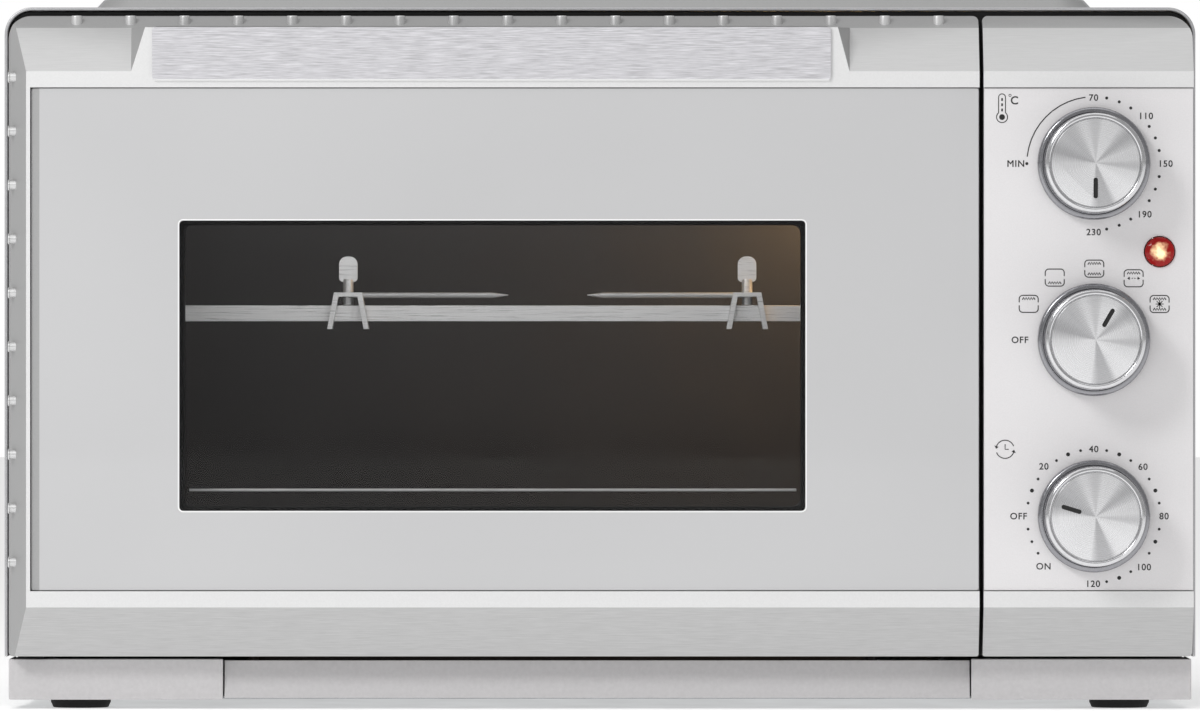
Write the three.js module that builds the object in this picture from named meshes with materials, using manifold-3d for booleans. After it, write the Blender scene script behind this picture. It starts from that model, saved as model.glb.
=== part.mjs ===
// Countertop rotisserie oven: sheet-metal housing, drop-down glass door, control column with three knobs,
// spit with two forks, crumb tray. Millimetres, +Z up, the front faces -Y, +X is the user's right. The
// origin is under the middle of the overall box, on the surface the feet stand on.
import * as THREE from 'three';
import { mergeVertices } from 'three/addons/utils/BufferGeometryUtils.js';
import Module from 'manifold-3d';

const wasm = await Module();
wasm.setup();

// ---- overall sizes ----
const WIDTH = 435; // across the housing
const BODY_DEPTH = 344; // door face to the back of the housing
const HEIGHT = 260;
const KNOB_REACH = 20; // knobs in front of the door face
const SPACER_REACH = 10; // wall spacers behind the housing
const HOUSING_CORNER = 10;
const SHEET = 1.2; // housing, base and frame sheet
const LINER = 0.8; // cavity sheet
const GAP = 0.3; // between pieces that touch
const RUN = 0.5; // round pieces that turn or slide

const DEPTH = KNOB_REACH + BODY_DEPTH + SPACER_REACH;
const FRONT = KNOB_REACH - DEPTH / 2; // plane of the flat bands
const REAR = FRONT + BODY_DEPTH;
const LEFT = -WIDTH / 2;
const RIGHT = WIDTH / 2;

// ---- front section, depths measured back from FRONT ----
const RIM_DEPTH = 19.5; // back edge of the rim bevel
const SLOPE_DEPTH = 11.3; // back edge of the upper sloped band
const LOWER_SLOPE_DEPTH = 12.8;
const SECTION_DEPTH = 24;
const RIM_HEIGHT = 4.6;
const SLOPE_HEIGHT = 16;
const BAND_HEIGHT = 6.2; // flat bands above and below the glass
const LOWER_SLOPE_HEIGHT = 18.1;
const SIDE_DRAFT = 7.2; // the door's left face leans in by this much
const CORNER_RADIUS = 8.5;

// ---- heights ----
const PLATEAU_RISE = 3.8;
const FOOT_HEIGHT = 3.3;
const PLINTH_HEIGHT = 14.6;
const DOOR_TOP_GAP = 2;
const DOOR_SIDE_GAP = 0.4;
const PLINTH_GAP = 1.1;
const ROOF = HEIGHT - PLATEAU_RISE;
const BASE = FOOT_HEIGHT + GAP;
const PLINTH_TOP = BASE + PLINTH_HEIGHT;
const DOOR_BOTTOM = PLINTH_TOP + PLINTH_GAP;
const DOOR_TOP = ROOF - SHEET - DOOR_TOP_GAP;
const GLASS_BOTTOM = DOOR_BOTTOM + LOWER_SLOPE_HEIGHT + BAND_HEIGHT;
const GLASS_TOP = DOOR_TOP - RIM_HEIGHT - SLOPE_HEIGHT - BAND_HEIGHT;

// ---- door and control column ----
const CONTROL_WIDTH = 79.5;
const COLUMN_GAP = 1.5; // between door and fascia
const DOOR_LEFT = LEFT + SHEET + DOOR_SIDE_GAP;
const DOOR_RIGHT = RIGHT - CONTROL_WIDTH;
const FASCIA_LEFT = DOOR_RIGHT + COLUMN_GAP;
const FASCIA_RIGHT = RIGHT - SHEET - DOOR_SIDE_GAP;
const GLASS_THICK = 4;
const GLASS_SINK = 0.6;
const GLASS_MARGIN = 9; // door's left edge to the glass
// Margins from the edges of the door and of its glass to the clear window.
const WINDOW = { left: 62.9, right: 63.3, below: 28.9, above: 48.1, inset: 1.5 };
const STILE = 20; // solid sides of the door frame
const RAIL = 33; // solid foot and head of the door frame
const HANDLE_WIDTH = 246.8;
const HANDLE_HEIGHT = 18.9;
const HANDLE_LEFT = DOOR_LEFT + 53.1;
const TAB_THICK = 3.2;
const RECESS_DEPTH = 12.6; // finger gap behind the handle tab, up to the rim
const STUD_RADIUS = 2.05;
const STUD_PITCH = 19.65;

// ---- door hinge ----
const PIVOT_DEPTH = 15;
const PIVOT_RISE = 4.7; // above the door's bottom edge
const PIN_RADIUS = 1.4;
const ARM_THICK = 2;
const ARM_INNER = 38;
const ARM_OUTER = 46;
const ARM_INSET = 11.4; // arm in from the door's side edge
const BRACKET_INSET = 6.4;
const BRACKET_THICK = 2;
const EAR_RADIUS = 3; // kept behind the bottom band, whose face slopes close past the pivot
const EAR_WALL = 1.2; // door wall left in front of the ears
const PIVOT_Y = FRONT + PIVOT_DEPTH;
const PIVOT_Z = DOOR_BOTTOM + PIVOT_RISE;

// ---- frame and cavity ----
const SEAL_SPACE = 1.5;
const FRAME_Y = FRONT + SECTION_DEPTH + SEAL_SPACE;
const HOUSING_Y = FRAME_Y - 4.5; // the housing's front edge shrouds the back of the door
const CAVITY_INSET = 26.9; // cavity wall in from the door's side edges
const CAVITY_LEFT = DOOR_LEFT + CAVITY_INSET;
const CAVITY_RIGHT = DOOR_RIGHT - CAVITY_INSET;
const CAVITY_TOP = HEIGHT - 28;
const CAVITY_FRONT = FRAME_Y + SHEET + GAP;
const CAVITY_BACK = REAR - 27;
const FLOOR_Z = PLINTH_TOP + 1;
const MOUTH_BOTTOM = FLOOR_Z + 8;

// ---- spit ----
const SPIT_SIDE = 6;
const SPIT_Y = 5;
const SPIT_Z = DOOR_BOTTOM + 125.7;
const SOCKET_RADIUS = 8;
const SUPPORT_OUT = 7.2; // support plate off the left wall
const WALL_OUT = CAVITY_RIGHT + LINER;
const SOCKET = { start: CAVITY_RIGHT - 7, end: WALL_OUT + 7, shaft: WALL_OUT + 11 };
const SPIT_END = SOCKET.end - 4; // right end of the square bar, inside the socket
const SPIT_SHOULDER = CAVITY_LEFT + SUPPORT_OUT + 12; // square bar ends, round journal begins
const JOURNAL_RADIUS = 2.7;
const PRONG_LENGTH = 55;
const PRONG_RADIUS = 1;
const FORK_LEFT_X = -95;
const FORK_RIGHT_X = 55.5;
const FORK = { rise: 7.9, top: 10.6, foot: 15.7, drop: 5.9, width: 16, sheet: 1.6, spread: 6 };
const SCREW_RADIUS = 2;
const PADDLE = { width: 7, height: 9.6, thick: 1.7 };

// ---- controls ----
const KNOB_X = RIGHT - 38;
const KNOB_PITCH = 64.1;
const KNOB_TOP_Z = DOOR_TOP - 54.2;
const KNOB_HEIGHTS = [KNOB_TOP_Z, KNOB_TOP_Z - KNOB_PITCH, KNOB_TOP_Z - 2 * KNOB_PITCH];
const KNOB_RADIUS = 18.15;
const RING_RADIUS = 20.5;
const FACE_RADIUS = 15.95;
const STEM_RADIUS = 3.9;
const PLATE_THICK = 1.5;
const LAMP_RADIUS = 5.4;
const LAMP = { x: RIGHT - 14, z: KNOB_TOP_Z - KNOB_PITCH / 2 };
const SWITCH = { side: 38, depth: 30, y: FRAME_Y + SHEET + 1.4 };
const PROBE = { y: -20, z: CAVITY_TOP - 24, bulb: 3, tube: 1 };

// ---- heaters and fan ----
const HEATER_RADIUS = 3.25;
const HEATERS = [
  { name: 'heater_upper_front', y: -65, z: CAVITY_TOP - 16 },
  { name: 'heater_upper_rear', y: 75, z: CAVITY_TOP - 16 },
  { name: 'heater_lower_front', y: -65, z: FLOOR_Z + 18 },
  { name: 'heater_lower_rear', y: 75, z: FLOOR_Z + 18 },
];
const FAN = { y: 85, z: 125, wheel: 38, grille: 46, blades: 8, hub: 9 };
const FAN_X = CAVITY_RIGHT + 2;

// ---- crumb tray and base ----
const TRAY_LEFT = LEFT + 80.3;
const TRAY_RIGHT = RIGHT - 82.4;
const TRAY_WALL = 0.8;
const TRAY_DEPTH = 9.5;
const BASE_INSET = 3;
const FOOT_X = WIDTH / 2 - 27;
const PLINTH_Y = FRAME_Y - 5; // face of the plinth trim
const TRAY_PAN = { x0: TRAY_LEFT + 4, x1: CAVITY_RIGHT - 6.5, y0: PLINTH_Y + SHEET + 3, y1: CAVITY_BACK - 15 };
const GLAND = { x: RIGHT - 60, z: 50, radius: 7 };

// ---- shapes ----
function solid(geometry) {
  const bare = geometry.clone();
  bare.deleteAttribute('normal');
  bare.deleteAttribute('uv');
  const merged = mergeVertices(bare, 1e-4);
  const { position } = merged.attributes;
  const data = { numProp: 3, vertProperties: position.array, triVerts: merged.index.array };
  return new wasm.Manifold(new wasm.Mesh(data));
}

function box(x0, x1, y0, y1, z0, z1) {
  const geometry = new THREE.BoxGeometry(x1 - x0, y1 - y0, z1 - z0);
  return solid(geometry.translate((x0 + x1) / 2, (y0 + y1) / 2, (z0 + z1) / 2));
}

function outline(points) {
  return new THREE.Shape(points.map(([a, b]) => new THREE.Vector2(a, b)));
}

// A flat outline in the first two of the named axes, extruded from low to high along the third.
function prism(axes, shape, low, high, curveSegments = 6) {
  const options = { depth: high - low, bevelEnabled: false, curveSegments };
  const geometry = new THREE.ExtrudeGeometry(shape, options);
  geometry.translate(0, 0, low);
  const unit = { x: [1, 0, 0], y: [0, 1, 0], z: [0, 0, 1] };
  const [a, b, c] = [...axes].map((name) => new THREE.Vector3(...unit[name]));
  const turn = new THREE.Matrix4().makeBasis(a, b, c);
  geometry.applyMatrix4(turn);
  if (turn.determinant() < 0) flipFaces(geometry);
  return solid(geometry);
}

function flipFaces(geometry) {
  const positions = geometry.attributes.position.array;
  for (let i = 0; i < positions.length; i += 9) {
    for (let k = 0; k < 3; k += 1) {
      const kept = positions[i + 3 + k];
      positions[i + 3 + k] = positions[i + 6 + k];
      positions[i + 6 + k] = kept;
    }
  }
}

function roundedRect(a0, a1, b0, b1, radii) {
  const corners = [].concat(radii).length === 4 ? radii : Array(4).fill(radii);
  const [bottomLeft, bottomRight, topRight, topLeft] = corners;
  const shape = new THREE.Shape();
  shape.moveTo(a0 + bottomLeft, b0);
  shape.lineTo(a1 - bottomRight, b0);
  if (bottomRight) shape.absarc(a1 - bottomRight, b0 + bottomRight, bottomRight, -Math.PI / 2, 0);
  shape.lineTo(a1, b1 - topRight);
  if (topRight) shape.absarc(a1 - topRight, b1 - topRight, topRight, 0, Math.PI / 2);
  shape.lineTo(a0 + topLeft, b1);
  if (topLeft) shape.absarc(a0 + topLeft, b1 - topLeft, topLeft, Math.PI / 2, Math.PI);
  shape.lineTo(a0, b0 + bottomLeft);
  if (bottomLeft) shape.absarc(a0 + bottomLeft, b0 + bottomLeft, bottomLeft, Math.PI, 1.5 * Math.PI);
  return shape;
}

// A turned piece: profile points are [radius, position along the axis], from the axis and back to it.
function turned(axis, profile, segments = 24) {
  const geometry = new THREE.LatheGeometry(profile.map(([r, t]) => new THREE.Vector2(r, t)), segments);
  if (axis === 'x') geometry.rotateZ(-Math.PI / 2);
  if (axis === 'z') geometry.rotateX(Math.PI / 2);
  const made = solid(geometry);
  return made.volume() < 0 ? turned(axis, [...profile].reverse(), segments) : made;
}

// A plain round bar along an axis, centred on (a, b) in the other two axes.
function bar(axis, radius, low, high, a, b, segments = 16) {
  const made = turned(axis, [[0, low], [radius, low], [radius, high], [0, high]], segments);
  const place = { x: [0, a, b], y: [a, 0, b], z: [a, b, 0] };
  return made.translate(place[axis]);
}

function join(pieces) {
  return pieces.reduce((whole, piece) => whole.add(piece));
}

function cut(whole, pieces) {
  return pieces.reduce((rest, piece) => rest.subtract(piece), whole);
}

function finish(color, roughness, metalness) {
  return new THREE.MeshStandardMaterial({ color, roughness, metalness });
}

const STEEL = finish(0xc9c9cb, 0.35, 1);
const PAINT = finish(0xcfcfd1, 0.45, 0.6);
const ZINC = finish(0xa9abad, 0.5, 0.9);
const ENAMEL = finish(0x2c2b2c, 0.5, 0.2);
const WHITE = finish(0xe9e7e8, 0.45, 0);
const CHROME = finish(0xd8d6d6, 0.15, 1);
const BLACK = finish(0x141414, 0.8, 0);
const GLASS = finish(0x9fa6a8, 0.05, 0);
const LENS = finish(0xa01010, 0.1, 0);
const HEATER = finish(0x5c5a58, 0.6, 0.7);

function mesh(name, made, material, position = [0, 0, 0], turn = 0) {
  const { vertProperties, triVerts } = made.getMesh();
  const geometry = new THREE.BufferGeometry();
  geometry.setAttribute('position', new THREE.BufferAttribute(new Float32Array(vertProperties), 3));
  geometry.setIndex(new THREE.BufferAttribute(new Uint32Array(triVerts), 1));
  const piece = new THREE.Mesh(geometry, material);
  piece.name = name;
  piece.position.set(...position);
  piece.rotation.y = turn;
  return piece;
}

// ---- housing ----
function outerHousing() {
  const end = REAR;
  const section = roundedRect(LEFT, RIGHT, DOOR_BOTTOM - GAP, ROOF, [0, 0, HOUSING_CORNER, HOUSING_CORNER]);
  const outer = prism('xzy', section, HOUSING_Y, end);
  const inside = roundedRect(LEFT + SHEET, RIGHT - SHEET, 0, ROOF - SHEET, [0, 0, 10 - SHEET, 10 - SHEET]);
  const inner = prism('xzy', inside, HOUSING_Y - 1, end + 1);
  return cut(outer.add(plateau(0)), [inner, plateau(SHEET), ...sideVents()]);
}

// The raised field pressed into the roof; sink lowers it and draws its edges in, for the sheet's underside.
function plateau(sink) {
  const margin = { left: 31, right: 35.5, front: 22, back: 18, slope: 4 };
  const [x0, x1] = [LEFT + margin.left + sink, RIGHT - margin.right - sink];
  const [y0, y1] = [HOUSING_Y + margin.front + sink, REAR - margin.back - sink];
  const [low, high] = [ROOF - SHEET - sink, HEIGHT - sink];
  const across = outline([[x0, low], [x1, low], [x1 - margin.slope, high], [x0 + margin.slope, high]]);
  const along = outline([[y0, low], [y1, low], [y1 - margin.slope, high], [y0 + margin.slope, high]]);
  return prism('xzy', across, y0 - 1, y1 + 1).intersect(prism('yzx', along, x0 - 1, x1 + 1));
}

function sideVents() {
  const [count, pitch, height, length] = [8, 9, 3.5, 60];
  const first = ROOF - 60 - pitch * count;
  const slots = [];
  for (let i = 0; i < count; i += 1) {
    const z = first + i * pitch;
    slots.push(box(RIGHT - 2 * SHEET, RIGHT + 1, -length / 2, length / 2, z, z + height));
  }
  return slots;
}

function rearPanel() {
  const inset = SHEET + GAP;
  const shape = roundedRect(LEFT + inset, RIGHT - inset, DOOR_BOTTOM, ROOF - inset, [0, 0, 9, 9]);
  const panel = prism('xzy', shape, REAR - 1 - SHEET, REAR - 1);
  const slots = [];
  for (let row = 0; row < 6; row += 1) {
    for (const x of [CAVITY_RIGHT + 30, CAVITY_RIGHT + 66]) {
      slots.push(box(x - 14, x + 14, REAR - 4, REAR + 1, 100 + row * 10, 104 + row * 10));
    }
  }
  return cut(panel, [...slots, bar('y', GLAND.radius + RUN, REAR - 4, REAR + 1, GLAND.x, GLAND.z)]);
}

function cordGland() {
  const { radius } = GLAND;
  const start = -1 - SHEET - 5;
  return turned('y', [
    [0, start], [radius, start], [radius, -1 + GAP], [radius + 3, -1 + GAP], [radius + 3, 2], [radius, 6],
    [4, 6], [4, 1], [0, 1],
  ]);
}

function rearSpacer() {
  const base = -1 + GAP;
  const rim = SPACER_REACH - 2;
  return turned('y', [[0, base], [8, base], [8, rim], [6, SPACER_REACH], [0, SPACER_REACH]]);
}

function basePan() {
  const [x0, x1, y0, y1] = [LEFT + BASE_INSET, RIGHT - BASE_INSET, FRAME_Y - 1, REAR - 3];
  const outer = box(x0, x1, y0, y1, BASE, PLINTH_TOP);
  const inner = box(x0 + SHEET, x1 - SHEET, y0 + SHEET, y1 - SHEET, BASE + SHEET, PLINTH_TOP + 1);
  const [mouth0, mouth1] = [TRAY_LEFT - RUN, TRAY_RIGHT + RUN];
  const mouth = box(mouth0, mouth1, y0 - 1, y0 + 2 * SHEET, BASE + SHEET, PLINTH_TOP + 1);
  return cut(outer, [inner, mouth]);
}

// side is -1 for the left piece, 1 for the right one; the strip turns back along the side of the base.
function plinthTrim(side) {
  const outer = side < 0 ? LEFT + 1.5 : RIGHT - 1.5;
  const inner = side < 0 ? TRAY_LEFT - RUN : TRAY_RIGHT + RUN;
  const wall = SHEET;
  const [low, high] = [BASE - GAP, PLINTH_TOP];
  const face = box(Math.min(outer, inner), Math.max(outer, inner), PLINTH_Y, PLINTH_Y + wall, low, high);
  const back = outer - side * (wall - 0.1);
  const flange = box(Math.min(outer, back), Math.max(outer, back), PLINTH_Y, PLINTH_Y + 40, low, high);
  return face.add(flange);
}

function foot() {
  return turned('z', [[0, 0], [9.5, 0], [11, 1.4], [11, FOOT_HEIGHT], [0, FOOT_HEIGHT]], 20);
}

// ---- frame and cavity ----
function frontFrame() {
  const inset = SHEET + GAP;
  const shape = roundedRect(LEFT + inset, RIGHT - inset, DOOR_BOTTOM, ROOF - inset, [0, 0, 8, 8]);
  const sheet = prism('xzy', shape, FRAME_Y, FRAME_Y + SHEET);
  const [y0, y1] = [FRAME_Y - 1, FRAME_Y + 2 * SHEET];
  const mouth = prism('xzy', roundedRect(CAVITY_LEFT, CAVITY_RIGHT, MOUTH_BOTTOM, CAVITY_TOP, 6), y0, y1);
  const stems = KNOB_HEIGHTS.map((z) => bar('y', STEM_RADIUS + RUN, y0, y1, KNOB_X, z));
  const arms = [armX(-1), armX(1)].map((x) => {
    const reach = FRAME_Y - PIVOT_Y;
    const low = Math.sqrt(ARM_INNER ** 2 - (reach + SHEET) ** 2) - 2;
    const high = Math.sqrt(ARM_OUTER ** 2 - reach ** 2) + 2;
    return box(x - 1, x + ARM_THICK + 1, y0, y1, PIVOT_Z + low, PIVOT_Z + high);
  });
  return cut(sheet, [mouth, ...stems, ...arms, bar('y', LAMP_RADIUS + RUN, y0, y1, LAMP.x, LAMP.z)]);
}

// A side wall with two pressed rack runners; side is -1 for the left wall.
function cavityWall(side) {
  const face = side < 0 ? CAVITY_LEFT : CAVITY_RIGHT;
  const away = face + side * LINER;
  const [low, high] = [FLOOR_Z + LINER + GAP, CAVITY_TOP];
  let wall = box(Math.min(face, away), Math.max(face, away), CAVITY_FRONT, CAVITY_BACK, low, high);
  const depth = 4;
  for (const z of [MOUTH_BOTTOM + 43, MOUTH_BOTTOM + 83]) {
    const crest = face - side * depth;
    const profile = [[away, z - 5], [away, z + 5], [crest, z + 2], [crest, z - 2]];
    wall = wall.add(prism('xzy', outline(profile), CAVITY_FRONT + 12, SPIT_Y - 32));
  }
  const holes = HEATERS.map(({ y, z }) => bar('x', HEATER_RADIUS + RUN, face - 9, face + 9, y, z));
  if (side > 0) {
    holes.push(bar('x', SOCKET_RADIUS + RUN, face - 3, face + 3, SPIT_Y, SPIT_Z));
    holes.push(bar('x', FAN.wheel + 3, face - 3, face + 3, FAN.y, FAN.z, 32));
    holes.push(bar('x', PROBE.tube + 2 * RUN, face - 3, face + 3, PROBE.y, PROBE.z, 8));
  }
  return cut(wall, holes);
}

function cavityCeiling() {
  const z = CAVITY_TOP + GAP;
  return box(CAVITY_LEFT - LINER, CAVITY_RIGHT + LINER, CAVITY_FRONT, CAVITY_BACK, z, z + LINER);
}

function cavityBack() {
  const y = CAVITY_BACK + GAP;
  return box(CAVITY_LEFT - LINER, CAVITY_RIGHT + LINER, y, y + LINER, FLOOR_Z, CAVITY_TOP + GAP + LINER);
}

// The floor is open over the crumb tray.
function cavityFloor() {
  const [left, right] = [CAVITY_LEFT - LINER, CAVITY_RIGHT + LINER];
  const sheet = box(left, right, CAVITY_FRONT, CAVITY_BACK, FLOOR_Z, FLOOR_Z + LINER);
  const rim = 3;
  const [x0, x1] = [TRAY_PAN.x0 + rim, TRAY_PAN.x1 - rim];
  const opening = box(x0, x1, TRAY_PAN.y0 + 8, TRAY_PAN.y1 - rim, FLOOR_Z - 1, FLOOR_Z + 2);
  return sheet.subtract(opening);
}

// A sheathed rod through both cavity walls, with a thinner terminal at each end.
function heater() {
  const [x0, x1] = [CAVITY_LEFT - 10, CAVITY_RIGHT + 10];
  const [r, tip, length] = [HEATER_RADIUS, 1.5, 8];
  return turned('x', [[0, x0 - length], [tip, x0 - length], [tip, x0], [r, x0], [r, x1], [tip, x1],
    [tip, x1 + length], [0, x1 + length]], 12);
}

// ---- fan ----
function fanGrille() {
  const x = CAVITY_RIGHT - GAP;
  let disc = bar('x', FAN.grille, x - 1, x, 0, 0, 32);
  const slots = [];
  for (let k = 0; k < 8; k += 1) {
    const slot = box(x - 3, x + 2, -2, 2, 12, FAN.grille - 10);
    slots.push(slot.rotate([45 * k, 0, 0]));
    slots.push(box(x - 3, x + 2, -1.5, 1.5, 22, FAN.grille - 10).rotate([45 * k + 22.5, 0, 0]));
  }
  disc = cut(disc, slots);
  return disc;
}

function fanWheel() {
  const [x0, x1] = [FAN_X, FAN_X + 10];
  const back = bar('x', FAN.wheel - 2, x1 - 1, x1, 0, 0, 24);
  const hub = bar('x', FAN.hub, x0, x1, 0, 0, 16);
  const shaft = bar('x', 2.5, x1 - 1, x1 + 4, 0, 0, 10);
  const blades = [];
  for (let k = 0; k < FAN.blades; k += 1) {
    blades.push(box(x0, x1 - 0.5, -0.6, 0.6, FAN.hub - 2, FAN.wheel).rotate([(360 / FAN.blades) * k, 0, 0]));
  }
  return join([back, hub, shaft, ...blades]);
}

function fanMotor() {
  const x = FAN_X + 10 + 4 + GAP;
  const plate = box(x, x + 1.5, -FAN.grille, FAN.grille, -12, 12);
  return plate.add(bar('x', 24, x + 1, x + 30, 0, 0, 24));
}

// ---- spit ----
function driveSocket() {
  const { start, end, shaft } = SOCKET;
  const body = turned('x', [
    [0, start], [SOCKET_RADIUS, start], [SOCKET_RADIUS, end], [4, end], [4, shaft], [0, shaft],
  ]);
  const half = SPIT_SIDE / 2 + GAP;
  return body.subtract(box(start - 1, SPIT_END + 1, -half, half, -half, half));
}

function spitMotor() {
  const x = SOCKET.shaft + GAP;
  return box(x, x + 28, -25, 25, -25, 25).add(bar('x', 10, x + 20, x + 36, 0, 12));
}

// Channel on the left wall with a notch open at the top, which the spit's round end drops into.
function spitSupport() {
  const [x0, x1] = [CAVITY_LEFT + GAP, CAVITY_LEFT + SUPPORT_OUT];
  const outer = box(x0, x1, -14, 14, -15, 14);
  const inner = box(x0 - 1, x1 - SHEET, -14 + SHEET, 14 - SHEET, -16, 15);
  const radius = JOURNAL_RADIUS + RUN;
  const notch = bar('x', radius, x0 - 1, x1 + 1, 0, 0).add(box(x0 - 1, x1 + 1, -radius, radius, 0, 16));
  return cut(outer, [inner, notch]);
}

function spitRod() {
  const half = SPIT_SIDE / 2;
  const square = box(SPIT_SHOULDER, SPIT_END, -half, half, -half, half);
  const tip = CAVITY_LEFT + 2;
  return square.add(turned('x', [[0, tip], [JOURNAL_RADIUS - 1, tip], [JOURNAL_RADIUS, tip + 1],
    [JOURNAL_RADIUS, SPIT_SHOULDER + 1], [0, SPIT_SHOULDER + 1]], 12));
}

// Sheet bracket with splayed legs on the square bar, and two prongs that point toward -1 or 1 along X.
function fork(toward) {
  const { rise, top, foot: base, drop, width, sheet, spread } = FORK;
  const shell = [[-base / 2, -drop], [base / 2, -drop], [top / 2, rise], [-top / 2, rise]];
  const inset = sheet * 1.1;
  const space = [
    [inset - base / 2, -drop - 1], [base / 2 - inset, -drop - 1], [top / 2 - inset, rise - sheet],
    [inset - top / 2, rise - sheet]];
  const half = SPIT_SIDE / 2 + GAP;
  const bracket = cut(prism('xzy', outline(shell), -width / 2, width / 2), [
    prism('xzy', outline(space), -width / 2 - 1, width / 2 + 1),
    box(-base, base, -half, half, -half, half),
    bar('z', SCREW_RADIUS + GAP, 0, rise + 2, 0, 0, 12),
  ]);
  const reach = toward * (top / 2 + PRONG_LENGTH);
  const point = reach - toward * 6;
  const prongs = [-spread, spread].map((y) => {
    const profile = [[0, 0], [PRONG_RADIUS, 0], [PRONG_RADIUS, point], [0.2, reach], [0, reach]];
    return turned('x', profile, 8).translate([0, y, rise - PRONG_RADIUS]);
  });
  return join([bracket, ...prongs]);
}

function wingScrew() {
  const { width, height, thick } = PADDLE;
  const start = SPIT_SIDE / 2 + GAP;
  const neck = FORK.rise + 5;
  const shank = turned('z', [[0, start], [SCREW_RADIUS, start], [SCREW_RADIUS, neck], [0, neck]], 12);
  const paddle = roundedRect(-width / 2, width / 2, neck - 1, neck - 1 + height, [1.5, 1.5, 3, 3]);
  return shank.add(prism('xzy', paddle, -thick / 2, thick / 2, 3));
}

// ---- door ----
function armX(side) {
  return side < 0 ? DOOR_LEFT + ARM_INSET : DOOR_RIGHT - ARM_INSET - ARM_THICK;
}

// The section that the door frame and the control fascia share, as [depth, height] points.
function frontSection() {
  const sections = [
    [LOWER_SLOPE_DEPTH, DOOR_BOTTOM], [SECTION_DEPTH - 1, DOOR_BOTTOM], [SECTION_DEPTH, DOOR_BOTTOM + 1],
    [SECTION_DEPTH, DOOR_TOP], [RIM_DEPTH, DOOR_TOP], [SLOPE_DEPTH, DOOR_TOP - RIM_HEIGHT],
    [0, DOOR_TOP - RIM_HEIGHT - SLOPE_HEIGHT], [0, DOOR_BOTTOM + LOWER_SLOPE_HEIGHT],
  ];
  return outline(sections.map(([depth, z]) => [FRONT + depth, z]));
}

function doorFrame() {
  const [back, front] = [FRONT + SECTION_DEPTH + 1, FRONT - 1];
  const section = prism('yzx', frontSection(), DOOR_LEFT, DOOR_RIGHT);
  const face = roundedRect(DOOR_LEFT, DOOR_RIGHT, DOOR_BOTTOM, DOOR_TOP, [1.5, 0.8, 2, CORNER_RADIUS]);
  const seat = FRONT + GLASS_SINK + GLASS_THICK + GAP;
  const rebate = box(DOOR_LEFT + GLASS_MARGIN - GAP, DOOR_RIGHT + 1, front, seat,
    GLASS_BOTTOM - GAP, GLASS_TOP + GAP);
  const hollow = box(DOOR_LEFT + STILE, DOOR_RIGHT - STILE, FRONT, back, DOOR_BOTTOM + RAIL, DOOR_TOP - RAIL);
  const body = cut(section.intersect(prism('xzy', face, front, back)), [sideDraft(), rebate, hollow]);
  return cut(join([body, handleTab(), ...studs()]), [fingerRecess(), ...armSlots()]);
}

function sideDraft() {
  const rate = SIDE_DRAFT / RIM_DEPTH;
  const edge = [[DOOR_LEFT, FRONT + RIM_DEPTH], [DOOR_LEFT + SIDE_DRAFT + rate, FRONT - 1],
    [DOOR_LEFT - 1, FRONT - 1], [DOOR_LEFT - 1, FRONT + RIM_DEPTH]];
  return prism('xyz', outline(edge), 0, HEIGHT);
}

// The tab that carries the handle plate stands in the plane of the flat bands, in front of the sloped band.
function handleTab() {
  const [low, high] = [GLASS_TOP + BAND_HEIGHT - 1, DOOR_TOP - RIM_HEIGHT];
  const [x0, x1] = [HANDLE_LEFT, HANDLE_LEFT + HANDLE_WIDTH];
  const tab = outline([[x0 - 8, low], [x1 + 7, low], [x1 + 2.5, high], [x0 - 2.6, high]]);
  return prism('xzy', tab, FRONT, FRONT + SLOPE_DEPTH);
}

function fingerRecess() {
  const [x0, x1] = [HANDLE_LEFT + 1, HANDLE_LEFT + HANDLE_WIDTH - 1];
  return box(x0, x1, FRONT + TAB_THICK, FRONT + RECESS_DEPTH, GLASS_TOP + BAND_HEIGHT + 1.5, DOOR_TOP + 1);
}

// Short studs moulded on the rim, along the top and down the left side.
function studs() {
  const top = Array.from({ length: 17 }, (_, k) => {
    return bar('z', STUD_RADIUS, DOOR_TOP - 7, DOOR_TOP, DOOR_LEFT + 25 + k * STUD_PITCH, FRONT + 15.2, 10);
  });
  const side = Array.from({ length: 10 }, (_, k) => {
    return bar('x', STUD_RADIUS, DOOR_LEFT, DOOR_LEFT + 8, FRONT + 13, DOOR_TOP - 22.5 - k * STUD_PITCH, 10);
  });
  return [...top, ...side];
}

// Outline in (y, z) of the room behind the bottom band, up to a height, with a wall left along the slope.
function behindBand(top) {
  const slope = new THREE.Vector2(-LOWER_SLOPE_DEPTH, LOWER_SLOPE_HEIGHT).normalize();
  const inward = new THREE.Vector2(slope.y, -slope.x);
  const start = new THREE.Vector2(FRONT + LOWER_SLOPE_DEPTH, DOOR_BOTTOM).addScaledVector(inward, EAR_WALL);
  const along = (y) => start.y + ((y - start.x) / slope.x) * slope.y;
  const [low, high, back] = [PIVOT_Y - EAR_RADIUS / 2, PIVOT_Y - 7, FRONT + SECTION_DEPTH + 1];
  return outline([
    [low, DOOR_BOTTOM - 1], [low, along(low)], [high, along(high)], [high, top], [back, top],
    [back, DOOR_BOTTOM - 1],
  ]);
}

function armSlots() {
  return [-1, 1].flatMap((side) => {
    const x = armX(side);
    const ends = [bracketX(side) - 1, x - GAP, x + ARM_THICK + GAP, bracketX(side) + BRACKET_THICK + 1];
    return [
      prism('yzx', behindBand(PIVOT_Z + ARM_OUTER + 2), x - GAP, x + ARM_THICK + GAP),
      prism('yzx', behindBand(PIVOT_Z + EAR_RADIUS + 8), Math.min(...ends), Math.max(...ends)),
    ];
  });
}

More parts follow.
